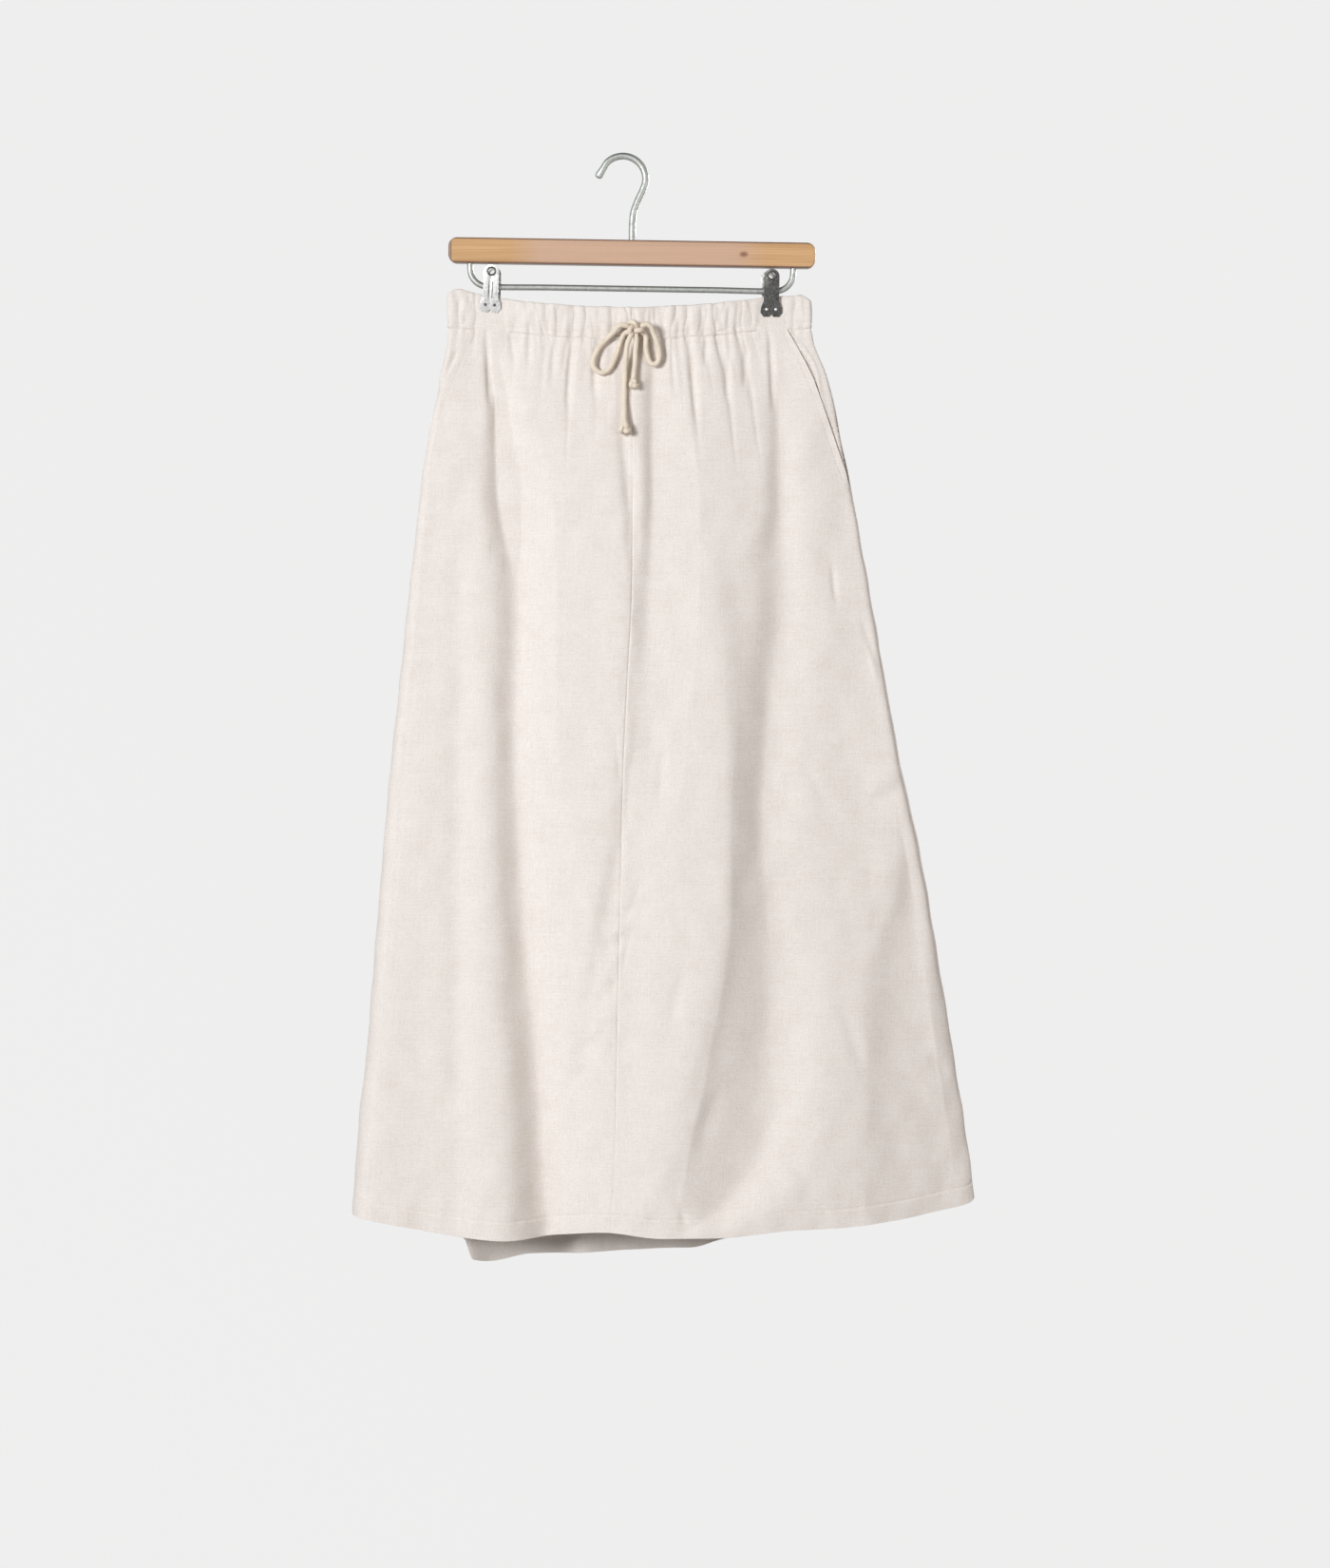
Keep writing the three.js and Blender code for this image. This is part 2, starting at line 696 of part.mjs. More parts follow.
// The bar is turned out of one piece of wood, with holes for the hook and the rod's two ends.
function barGeometry() {
  const outlineShape = new THREE.Shape();
  const half = barLength / 2 - barBevel;
  const high = barHeight / 2 - barBevel;
  const corner = barCorner - barBevel;
  outlineShape.moveTo(-half + corner, -high);
  outlineShape.lineTo(half - corner, -high);
  outlineShape.absarc(half - corner, -high + corner, corner, -Math.PI / 2, 0);
  outlineShape.absarc(half - corner, high - corner, corner, 0, Math.PI / 2);
  outlineShape.absarc(-half + corner, high - corner, corner, Math.PI / 2, Math.PI);
  outlineShape.absarc(-half + corner, -high + corner, corner, Math.PI, Math.PI * 1.5);
  const depth = barThickness - 2 * barBevel;
  const blank = new THREE.ExtrudeGeometry(outlineShape, {
    depth,
    curveSegments: 4,
    bevelEnabled: true,
    bevelThickness: barBevel,
    bevelSize: barBevel,
    bevelSegments: 2,
  });
  blank.translate(0, 0, -depth / 2);
  blank.rotateX(Math.PI / 2);
  blank.translate(barCentreX, 0, barTop - barHeight / 2);
  let bar = solidOf(blank);
  const drill = (x, z, radius, length) => {
    const hole = new THREE.CylinderGeometry(radius, radius, length, 16);
    hole.rotateX(Math.PI / 2);
    hole.translate(x, 0, z);
    bar = bar.subtract(solidOf(hole));
  };
  drill(barCentreX, barTop, wireRadius + fitGap, hookSeatDepth * 2);
  for (const way of [-1, 1]) {
    drill(barCentreX + way * rodHalfSpan, barTop - barHeight, rodRadius + fitGap, rodSeatDepth * 2);
  }
  return geometryOf(bar);
}

// The hook's wire runs round its bend from the tip, then swings in to the stem.
function hookGeometry() {
  const centre = new THREE.Vector2(-1, wireRadius - hookRadius);
  const points = [];
  const firstTurn = 172;
  const lastTurn = -28;
  const stride = 20;
  for (let turn = firstTurn; turn >= lastTurn; turn -= stride) {
    const angle = THREE.MathUtils.degToRad(turn);
    const arm = new THREE.Vector3(Math.cos(angle), 0, Math.sin(angle)).multiplyScalar(hookRadius);
    points.push(arm.add(new THREE.Vector3(centre.x, 0, centre.y)));
  }
  points.push(new THREE.Vector3(13.6, 0, -41));
  points.push(new THREE.Vector3(10.2, 0, -51));
  points.push(new THREE.Vector3(barCentreX, 0, -61));
  points.push(new THREE.Vector3(barCentreX, 0, barTop));
  points.push(new THREE.Vector3(barCentreX, 0, barTop - hookSeatDepth + fitGap));
  return tubeAlong(new THREE.CatmullRomCurve3(points), wireRadius, 10, 32);
}

function rodGeometry() {
  const path = new THREE.CurvePath();
  const top = barTop - barHeight + rodSeatDepth - fitGap;
  const bendTop = rodZ + rodBend;
  const at = (x, z) => new THREE.Vector3(barCentreX + x, 0, z);
  const straight = rodHalfSpan - rodBend;
  const handle = rodBend * 0.45;
  path.add(new THREE.LineCurve3(at(-rodHalfSpan, top), at(-rodHalfSpan, bendTop)));
  path.add(
    new THREE.CubicBezierCurve3(
      at(-rodHalfSpan, bendTop),
      at(-rodHalfSpan, rodZ + handle),
      at(-straight - handle, rodZ),
      at(-straight, rodZ),
    ),
  );
  path.add(new THREE.LineCurve3(at(-straight, rodZ), at(straight, rodZ)));
  path.add(
    new THREE.CubicBezierCurve3(
      at(straight, rodZ),
      at(straight + handle, rodZ),
      at(rodHalfSpan, rodZ + handle),
      at(rodHalfSpan, bendTop),
    ),
  );
  path.add(new THREE.LineCurve3(at(rodHalfSpan, bendTop), at(rodHalfSpan, top)));
  return tubeAlong(path, rodRadius, 8, 46);
}

// A clip's plate leans from its spread top in to the band, and hangs on the rod by two ears.
function clipPlateGeometry(x, side, earAt) {
  const topHalf = clipTopWidth / 2;
  const jawHalf = clipJawWidth / 2;
  const jawInner = pinchedHalf + bandStandsProud + seamGap / 2 + fitGap;
  const shape = new THREE.Shape();
  shape.moveTo(-jawHalf + 3, -clipBelowRod);
  shape.lineTo(-2, -clipBelowRod);
  shape.lineTo(0, -clipBelowRod + 3);
  shape.lineTo(2, -clipBelowRod);
  shape.lineTo(jawHalf - 3, -clipBelowRod);
  shape.lineTo(jawHalf, -clipBelowRod + 4);
  shape.lineTo(jawHalf - 0.5, -clipBelowRod + 9);
  shape.lineTo(topHalf, -clipBelowRod + 15);
  shape.lineTo(topHalf, clipAboveRod - topHalf);
  shape.absarc(0, clipAboveRod - topHalf, topHalf, 0, Math.PI);
  shape.lineTo(-topHalf, -clipBelowRod + 15);
  shape.lineTo(-jawHalf + 0.5, -clipBelowRod + 9);
  shape.lineTo(-jawHalf, -clipBelowRod + 4);
  const hole = new THREE.Path();
  hole.absarc(0, clipAboveRod - topHalf + 1, 3.2, 0, Math.PI * 2, true);
  shape.holes.push(hole);
  const sheet = { depth: clipPlate, bevelEnabled: false, curveSegments: 7 };
  const plate = new THREE.ExtrudeGeometry(shape, sheet);
  plate.rotateX(Math.PI / 2);
  plate.translate(0, side < 0 ? 0 : clipPlate, 0);
  const position = plate.attributes.position;
  const length = clipAboveRod + clipBelowRod;
  for (let k = 0; k < position.count; k += 1) {
    const up = (position.getZ(k) + clipBelowRod) / length;
    const inner = jawInner + (clipTopSpread - jawInner) * up;
    position.setY(k, position.getY(k) + side * inner);
  }
  let clip = solidOf(plate);
  const rodLevelInner = jawInner + ((clipTopSpread - jawInner) * clipBelowRod) / length;
  for (const way of [-1, 1]) {
    const earRadius = 5.2;
    const disc = new THREE.CylinderGeometry(earRadius, earRadius, clipPlate, 14).rotateZ(Math.PI / 2);
    const arm = new THREE.BoxGeometry(clipPlate, rodLevelInner + clipPlate / 2, earRadius * 1.6);
    arm.translate(0, (side * (rodLevelInner + clipPlate / 2)) / 2, 0);
    for (const piece of [disc, arm]) clip = clip.add(solidOf(piece.translate(way * earAt, 0, 0)));
  }
  const boreRadius = rodRadius + 2 * fitGap;
  const bore = new THREE.CylinderGeometry(boreRadius, boreRadius, clipJawWidth, 14).rotateZ(Math.PI / 2);
  clip = clip.subtract(solidOf(bore));
  return geometryOf(clip.translate([x, 0, rodZ]));
}

function clipSpringGeometry(x) {
  const inner = rodRadius + fitGap;
  const outer = inner + 1.5;
  const half = 3.9;
  const profile = [
    new THREE.Vector2(inner, -half),
    new THREE.Vector2(outer, -half),
    new THREE.Vector2(outer, half),
    new THREE.Vector2(inner, half),
    new THREE.Vector2(inner, -half),
  ];
  return new THREE.LatheGeometry(profile, 14).rotateZ(Math.PI / 2).translate(x, 0, rodZ);
}

// A place outside the bow knot, in a direction from its middle, just clear of it or further out.
function besideKnot(x, y, z, further) {
  const reach = 1 / Math.hypot(x / knot.halfWidth, y / knot.halfDepth, z / knot.halfHeight);
  const out = reach + (cordGap + further) / Math.hypot(x, y, z);
  return new THREE.Vector3(knot.x + x * out, knot.y + y * out, knot.z + z * out);
}

// The routes lie on the cloth. Each leaves the knot in one direction, and a loop comes back to it
// in another. Points are x, y and z.
const cordRoutes = [
  {
    name: 'bow_loop_left',
    steps: 20,
    from: [-1, -0.2, 0.25],
    points: [
      [-8.5, -15, -169.5],
      [-19.5, -12.8, -179.5],
      [-28, -13.6, -191.5],
      [-29.8, -15, -202],
      [-24, -16, -210.5],
      [-14.5, -15.8, -207.5],
      [-8.8, -14.5, -197],
      [-5, -13.6, -186],
    ],
    to: [-0.85, 0.35, -0.45],
  },
  {
    name: 'bow_loop_right',
    steps: 18,
    from: [1, -0.25, 0.3],
    points: [
      [27.8, -15.6, -173],
      [35.2, -13.4, -185],
      [37, -14, -195.5],
      [31.4, -14.2, -202.6],
      [24.6, -13.8, -199],
      [21.5, -13.4, -188],
    ],
    to: [0.8, 0.3, -0.5],
  },
  {
    name: 'drawstring_long_tail',
    steps: 11,
    from: [-0.45, -0.6, -0.75],
    points: [
      [3.4, -20, -183],
      [1.6, -18, -197],
      [0.6, -17.6, -224],
      [0.4, -20, -245],
    ],
    to: [0.8, -24, -257.6],
  },
  {
    name: 'drawstring_short_tail',
    steps: 6,
    from: [0.15, -0.05, -1],
    points: [
      [11.3, -16, -188],
      [10.7, -16.2, -202],
    ],
    to: [9.6, -18.8, -214.9],
  },
];

// The thumb knots at the ends of the tails
const endKnots = {
  drawstring_long_knot: { x: 0.9, y: -24.6, z: -265.3, halfWidth: 6.5, halfDepth: 5.6, halfHeight: 6.9 },
  drawstring_short_knot: { x: 9.4, y: -19.4, z: -221.4, halfWidth: 5, halfDepth: 4.7, halfHeight: 5.8 },
};

function cordGeometry(route) {
  const middle = route.points.map((point) => new THREE.Vector3(...point));
  const points = [besideKnot(...route.from, 0), besideKnot(...route.from, 3), ...middle];
  if (route.name.includes('loop')) {
    points.push(besideKnot(...route.to, 3), besideKnot(...route.to, 0));
  } else {
    points.push(new THREE.Vector3(...route.to));
  }
  return tubeAlong(new THREE.CatmullRomCurve3(points), cordRadius, 8, route.steps);
}

function knotGeometry(size) {
  const parts = 8;
  const profile = [];
  for (let k = 0; k <= parts; k += 1) {
    const turn = (k / parts) * Math.PI - Math.PI / 2;
    profile.push(new THREE.Vector2(k === 0 || k === parts ? 0 : Math.cos(turn), Math.sin(turn)));
  }
  const knotBody = new THREE.LatheGeometry(profile, 12).rotateX(Math.PI / 2);
  knotBody.scale(size.halfWidth, size.halfDepth, size.halfHeight);
  return knotBody.translate(size.x, size.y, size.z);
}

const skirt = new THREE.Group();
function addPiece(parent, name, geometry, material) {
  const mesh = new THREE.Mesh(geometry, material);
  mesh.name = name;
  parent.add(mesh);
}

addPiece(skirt, 'skirt_front_left', panelGeometry(front, -1, 0, 'left'), cloth);
addPiece(skirt, 'skirt_front_right', panelGeometry(front, 0, 1, 'right'), cloth);
addPiece(skirt, 'skirt_back', panelGeometry(back, -1, 1, null), cloth);
addPiece(skirt, 'pocket_side_left', pocketSideGeometry('left'), pocketCloth);
addPiece(skirt, 'pocket_side_right', pocketSideGeometry('right'), pocketCloth);
addPiece(skirt, 'waistband_front', bandGeometry(front), bandCloth);
addPiece(skirt, 'waistband_back', bandGeometry(back), bandCloth);

addPiece(skirt, 'bow_knot', knotGeometry(knot), cotton);
for (const route of cordRoutes) addPiece(skirt, route.name, cordGeometry(route), cotton);
for (const [name, end] of Object.entries(endKnots)) {
  addPiece(skirt, name, knotGeometry(end), cotton);
}

const hanger = new THREE.Group();
hanger.rotation.y = hangerTilt;
addPiece(hanger, 'hanger_bar', barGeometry(), wood);
addPiece(hanger, 'hanger_hook', hookGeometry(), steel);
addPiece(hanger, 'hanger_rod', rodGeometry(), steel);
for (const [side, x] of Object.entries(clipPlaces)) {
  const metal = side === 'left' ? zinc : darkSteel;
  addPiece(hanger, `clip_${side}_front_plate`, clipPlateGeometry(x, -1, 6.6), metal);
  addPiece(hanger, `clip_${side}_back_plate`, clipPlateGeometry(x, 1, 5.2), metal);
  addPiece(hanger, `clip_${side}_spring`, clipSpringGeometry(x), metal);
}
skirt.add(hanger);

export default skirt;
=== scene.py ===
"""A maxi skirt with a gathered drawstring waist, hanging from a wooden clip hanger.

Objects are in metres and tables are in millimetres. Up is +Z and the front of the skirt faces -Y.
"""

import math

import bmesh
import bpy
import numpy as np
from mathutils import Matrix, Vector
from mathutils.bvhtree import BVHTree


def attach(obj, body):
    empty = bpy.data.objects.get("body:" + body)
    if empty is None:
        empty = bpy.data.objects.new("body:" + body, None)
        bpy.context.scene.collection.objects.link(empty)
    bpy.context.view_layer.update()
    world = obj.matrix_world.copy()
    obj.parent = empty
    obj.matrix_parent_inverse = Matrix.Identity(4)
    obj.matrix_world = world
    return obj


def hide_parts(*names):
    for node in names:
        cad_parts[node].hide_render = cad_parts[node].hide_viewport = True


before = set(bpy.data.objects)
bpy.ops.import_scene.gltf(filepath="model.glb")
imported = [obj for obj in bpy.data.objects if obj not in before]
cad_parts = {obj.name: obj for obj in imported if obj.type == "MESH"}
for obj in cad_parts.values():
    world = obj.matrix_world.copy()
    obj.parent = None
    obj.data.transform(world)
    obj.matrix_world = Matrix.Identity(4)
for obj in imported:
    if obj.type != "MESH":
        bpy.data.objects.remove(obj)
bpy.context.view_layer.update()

# The camera stands straight in front of the skirt, level with the middle of the picture.
mm = 0.001
camera_data = bpy.data.cameras.new("camera")
camera_data.lens = 85
camera_data.sensor_width = 36
camera = bpy.data.objects.new("camera", camera_data)
camera.location = (0.040, -3.623, -0.611)
camera.rotation_euler = (math.pi / 2, 0, 0)
bpy.context.scene.collection.objects.link(camera)
bpy.context.scene.camera = camera

# The drawstring is one soft braided cotton cord, 5 mm thick. It is tied in a bow at the middle of
# the front, and each of its two free tails ends in a thumb knot. The bow lies on the gathers.
cord_radius = 2.5
bow_knot_middle = Vector((10.5, -16.5, -167))
bow_knot_half = Vector((9.5, 8, 8))
braid_pitch = 7.0
cord_step = 0.55
cord_sides = 24
inside_knot, outside_knot = -4, 3.5
merge_distance = 0.002 * mm

# Each loop leaves the knot in one direction and comes back to it in another.
bow_loops = {
    "bow_loop_left": {
        "from": (-1, -0.2, 0.25),
        "points": (
            (-5.4, -17.9, -165.4),
            (-10.2, -15.2, -170.6),
            (-19.5, -12.8, -179.5),
            (-27.6, -13.6, -191),
            (-30.2, -14.8, -200.5),
            (-28.2, -15.4, -206.8),
            (-23, -15.9, -210.2),
            (-16.8, -15.9, -208.8),
            (-12, -15.3, -203),
            (-8.8, -14.5, -196),
            (-5, -13.6, -186),
        ),
        "to": (-0.85, 0.35, -0.45),
    },
    "bow_loop_right": {
        "from": (1, -0.25, 0.3),
        "points": (
            (26.2, -18.7, -165.6),
            (28.8, -16, -171.6),
            (32.6, -13.9, -182),
            (34.6, -13.9, -191.5),
            (33.7, -14.1, -198),
            (31, -14.2, -201.4),
            (27.2, -14.2, -201.5),
            (24.5, -14, -198.4),
            (22.8, -13.7, -193),
            (21.5, -13.4, -186.5),
        ),
        "to": (0.8, 0.3, -0.5),
    },
}
tails = {
    "drawstring_long_tail": {
        "from": (-0.42, -0.35, -0.85),
        "points": ((3.4, -20, -183), (1.6, -18, -197), (0.6, -17.6, -224), (0.4, -20, -245), (0.8, -24, -257.6)),
        "knot": "drawstring_long_knot",
        "knot_middle": (0.9, -24.6, -265.3),
        "knot_half": (6.5, 5.6, 6.9),
    },
    "drawstring_short_tail": {
        "from": (0.15, -0.05, -1),
        "points": ((11.3, -16, -188), (10.7, -16.2, -202), (9.6, -18.8, -214.9)),
        "knot": "drawstring_short_knot",
        "knot_middle": (9.4, -19.4, -221.4),
        "knot_half": (5, 4.7, 5.8),
    },
}


def by_column(names, rows):
    """A table's columns by name."""
    return dict(zip(names, zip(*rows)))


def run_along(line):
    """How far along a line each of its places is."""
    return np.concatenate([[0], np.cumsum(np.linalg.norm(np.diff(line, axis=0), axis=1))])


def smooth_route(points, step):
    """Evenly spaced places along a centripetal curve through the points."""
    knots = [Vector(point) for point in points]
    knots = [2 * knots[0] - knots[1], *knots, 2 * knots[-1] - knots[-2]]
    route = []
    for before, start, end, after in zip(knots, knots[1:], knots[2:], knots[3:]):
        gap_in, gap, gap_out = (math.sqrt(part.length) for part in (start - before, end - start, after - end))
        leave = (start - before) / gap_in - (end - before) / (gap_in + gap) + (end - start) / gap
        arrive = (end - start) / gap - (after - start) / (gap + gap_out) + (after - end) / gap_out
        for k in range(40):
            t = k / 40
            route.append(
                start * (2 * t**3 - 3 * t**2 + 1)
                + leave * gap * (t**3 - 2 * t**2 + t)
                + end * (3 * t**2 - 2 * t**3)
                + arrive * gap * (t**3 - t**2)
            )
    route.append(knots[-2])
    line = np.array(route)
    reached = run_along(line)
    places = np.linspace(0, reached[-1], max(3, round(reached[-1] / step)) + 1)
    return np.stack([np.interp(places, reached, way) for way in line.T], axis=1)


def take_mesh(shape, name):
    """A mesh with what was built, which is then let go."""
    mesh = bpy.data.meshes.new(name)
    shape.to_mesh(mesh)
    shape.free()
    return mesh


def shaped_grid(name, columns, rows, shape, weld=False):
    """A grid whose points go where shape(across, along) puts them, with its weave map in metres."""
    grid = bmesh.new()
    bmesh.ops.create_grid(grid, x_segments=columns, y_segments=rows, size=1)
    for edge in grid.edges:
        edge.smooth = weld or not edge.is_boundary
    mesh = take_mesh(grid, name)
    flat = np.empty(len(mesh.vertices) * 3)
    mesh.vertices.foreach_get("co", flat)
    places = (flat.reshape(-1, 3) + 1) / 2
    points, weave = shape(places[:, 0], places[:, 1])
    mesh.vertices.foreach_set("co", (points * mm).ravel())
    corners = np.empty(len(mesh.loops), int)
    mesh.loops.foreach_get("vertex_index", corners)
    mesh.uv_layers.new(name="weave").data.foreach_set("uv", (weave[corners] * mm).ravel())
    if weld:
        whole = bmesh.new()
        whole.from_mesh(mesh)
        bmesh.ops.remove_doubles(whole, verts=whole.verts, dist=merge_distance)
        bmesh.ops.recalc_face_normals(whole, faces=whole.faces)
        whole.to_mesh(mesh)
        whole.free()
    mesh.update()
    return mesh


def tube_shape(route, radius, relief=None):
    """Wraps a grid round a route, with rounded ends."""
    ahead = np.gradient(route, axis=0)
    ahead /= np.linalg.norm(ahead, axis=1)[:, None]
    side = np.cross(ahead[0], (0.3, 1, 0.2))
    sides = []
    for direction in ahead:
        side = side - direction * side.dot(direction)
        side = side / np.linalg.norm(side)
        sides.append(side)
    sides = np.array(sides)
    ups = np.cross(ahead, sides)
    run = run_along(route)
    from_end = np.minimum(run, run[-1] - run)
    closing = np.sqrt(np.clip(1 - (1 - np.minimum(1, from_end / radius)) ** 2, 0, 1))

    def shape(across, along):
        k = np.rint(along * (len(route) - 1)).astype(int)
        turn = across * 2 * math.pi
        lift = 1 + (relief(turn, run[k]) if relief else 0)
        reach = (radius * closing[k] * lift)[:, None]
        points = route[k] + reach * (np.cos(turn)[:, None] * sides[k] + np.sin(turn)[:, None] * ups[k])
        return points, np.stack([across * 2 * math.pi * radius, run[k]], axis=1)

    return shape


def braid(turn, run):
    """How the braided strands stand out, as a share of the cord's radius."""
    twist = 2 * math.pi * run / braid_pitch
    strands = np.maximum(np.sin(3 * turn + 3 * twist), np.sin(3 * turn - 3 * twist))
    return 0.05 * strands - 0.03


def add_node(tree, kind, inputs=None, **settings):
    """A shader node with its settings, and values or other nodes' outputs for its inputs."""
    node = tree.nodes.new(kind)
    for name, value in settings.items():
        setattr(node, name, value)
    for name, value in (inputs or {}).items():
        if isinstance(value, bpy.types.NodeSocket):
            tree.links.new(value, node.inputs[name])
        else:
            node.inputs[name].default_value = value
    return node


def start_material(name, **constants):
    """A material whose shader has these constant inputs."""
    material = bpy.data.materials.new(name)
    material.use_nodes = True
    shader = material.node_tree.nodes["Principled BSDF"]
    for socket, value in constants.items():
        shader.inputs[socket.replace("_", " ")].default_value = value
    return material, material.node_tree, shader


def combined(tree, operation, first, second=0):
    """The outcome of a sum with one value or two."""
    return add_node(tree, "ShaderNodeMath", {0: first, 1: second}, operation=operation).outputs["Value"]


def streaks(tree, place, across, along, detail=3.0, roughness=0.55):
    """Noise drawn out into streaks, with how many there are to a metre each way."""
    scaled = add_node(tree, "ShaderNodeMapping", {"Vector": place, "Scale": (across, along, along)})
    noise = {"Vector": scaled.outputs["Vector"], "Scale": 1.0, "Detail": detail, "Roughness": roughness}
    return add_node(tree, "ShaderNodeTexNoise", noise).outputs["Fac"]


def spread(tree, value, low, high, to_low, to_high):
    """A value between low and high, spread over a new range and held at its ends."""
    inputs = {"Value": value, "From Min": low, "From Max": high, "To Min": to_low, "To Max": to_high}
    return add_node(tree, "ShaderNodeMapRange", inputs).outputs["Result"]


def shade_between(tree, share, low_colour, high_colour):
    """A colour between two colours."""
    inputs = {"Factor": share, "A": low_colour, "B": high_colour}
    return add_node(tree, "ShaderNodeMix", inputs, data_type="RGBA").outputs["Result"]


def finish_material(tree, shader, colour, bump, roughness=None):
    """Links a colour, a bump of this strength, distance and height, and perhaps a roughness."""
    tree.links.new(colour, shader.inputs["Base Color"])
    bumps = add_node(tree, "ShaderNodeBump", dict(zip(("Strength", "Distance", "Height"), bump)))
    tree.links.new(bumps.outputs["Normal"], shader.inputs["Normal"])
    if roughness is not None:
        tree.links.new(roughness, shader.inputs["Roughness"])


cotton, tree, shader = start_material("braided cotton", Roughness=0.9, Sheen_Weight=0.25, Sheen_Roughness=0.5)
cord_map = add_node(tree, "ShaderNodeUVMap", uv_map="weave").outputs["UV"]
fibres = streaks(tree, cord_map, 2600, 300)
soiling = streaks(tree, cord_map, 60, 60, detail=2.0)
cord_tone = spread(tree, combined(tree, "MULTIPLY", fibres, soiling), 0.12, 0.4, 0, 1)
cord_colour = shade_between(tree, cord_tone, (0.71, 0.61, 0.49, 1), (0.87, 0.79, 0.68, 1))
finish_material(tree, shader, cord_colour, (0.5, 0.0004, fibres))


def add_piece(name, mesh, material, slot, *nodes):
    """A finished piece of the object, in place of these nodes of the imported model."""
    mesh.polygons.foreach_set("use_smooth", [True] * len(mesh.polygons))
    mesh.materials.clear()
    mesh.materials.append(material)
    piece = bpy.data.objects.new(name, mesh)
    bpy.context.scene.collection.objects.link(piece)
    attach(piece, "root")
    if nodes:
        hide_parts(*nodes)
    return piece


def beside_knot(direction, further):
    """A place in a direction from the middle of the bow's knot, this far outside it."""
    direction = Vector(direction)
    reach = 1 / Vector(direction[k] / bow_knot_half[k] for k in range(3)).length
    return bow_knot_middle + direction * (reach + further / direction.length)


def out_of_knot(direction):
    """Where a cord starts inside the bow's knot, and where it has come out of it."""
    return [beside_knot(direction, inside_knot), beside_knot(direction, outside_knot)]


def add_tube(name, route, radius, relief, sides):
    """A tube along a route, closed into one skin."""
    return shaped_grid(name, sides, len(route) - 1, tube_shape(route, radius, relief), weld=True)


def add_cord(name, route):
    """A braided length of cord."""
    mesh = add_tube(name, route, cord_radius, braid, cord_sides)
    return add_piece("braided_" + name, mesh, cotton, "cotton_cord", name)


def knot_route(middle, half, turned):
    """The way that the cord takes through a thumb knot, which fills the given half sizes."""
    turn = np.linspace(0, 2 * math.pi, 121)
    line = np.stack(
        [np.sin(turn) + 2 * np.sin(2 * turn), -np.sin(3 * turn), np.cos(turn) - 2 * np.cos(2 * turn)],
        axis=1,
    )
    line /= np.abs(line).max(axis=0)
    room = np.array(half) - cord_radius * 0.92
    spin = np.array(Matrix.Rotation(turned, 3, "Y"))
    line = line @ spin.T
    return line / np.abs(line).max(axis=0) * room + np.array(middle)


add_cord("bow_knot", knot_route(bow_knot_middle, bow_knot_half, 0.5))

for name, loop in bow_loops.items():
    end = reversed(out_of_knot(loop["to"]))
    route = smooth_route([*out_of_knot(loop["from"]), *loop["points"], *end], cord_step)
    cord = add_cord(name, route)

for name, tail in tails.items():
    route = smooth_route([*out_of_knot(tail["from"]), *tail["points"], tail["knot_middle"]], cord_step)
    cord = add_cord(name, route)
    thumb_knot = add_cord(tail["knot"], knot_route(tail["knot_middle"], tail["knot_half"], 0.9))

# The skirt is cut from off-white plain-woven cloth of linen and cotton, with slubs in its yarns.
# It hangs flat: these sections give its side folds, its centre-front seam, the radius of the side
# folds, and how far the front and the back stand out in the middle.
outline_columns = ("z", "left", "right", "seam", "roll", "front", "back")
outline_rows = (
    (-120, -172, 182, 7.4, 4, 3, 3),
    (-165, -172, 183, 7.4, 4, 3, 3),
    (-216, -181, 200, 7.7, 6, 7, 6),
    (-309, -197, 220, 8.2, 9, 13, 10),
    (-402, -208, 237, 8.4, 11, 18, 14),
    (-495, -218, 253, 4.5, 13, 22, 18),
    (-588, -228, 270, 0, 14, 26, 21),
    (-681, -236, 290, -2.5, 15, 29, 24),
    (-774, -244, 306, -4.6, 16, 32, 27),
    (-867, -252, 321, -6.5, 17, 35, 29),
    (-960, -261, 336, -8.4, 18, 37, 31),
    (-1052, -267, 348, -13, 18, 38, 32),
)
outline = by_column(outline_columns, outline_rows)

# The waistband's top and bottom edges, which sag a little between the clips
band_rows = (
    (-172, -131, -164.5),
    (-164, -127.5, -165),
    (-130, -135, -167),
    (-70, -142, -173),
    (7, -145.5, -176),
    (80, -142, -172.5),
    (144, -135, -167),
    (174, -133.5, -165.5),
    (182, -138, -165),
)
band_edges = by_column(("x", "top", "bottom"), band_rows)

# The hems, as x and z. The back hangs lower, and steps up at a pressed fold on the left.
front_hem = (
    (-267, -1031), (-200, -1044), (-147, -1052), (-115, -1054), (-55, -1049), (-14, -1045), (34, -1049.5),
    (94, -1049), (158, -1043), (208, -1041), (258, -1036), (308, -1027), (338, -1020), (346, -1012),
)
back_hem = (
    (-267, -1031), (-205, -1046), (-158, -1057), (-149, -1079), (-132, -1082), (-92, -1076), (-5, -1073),
    (65, -1071), (100, -1061), (160, -1050), (250, -1038), (320, -1024), (346, -1012),
)

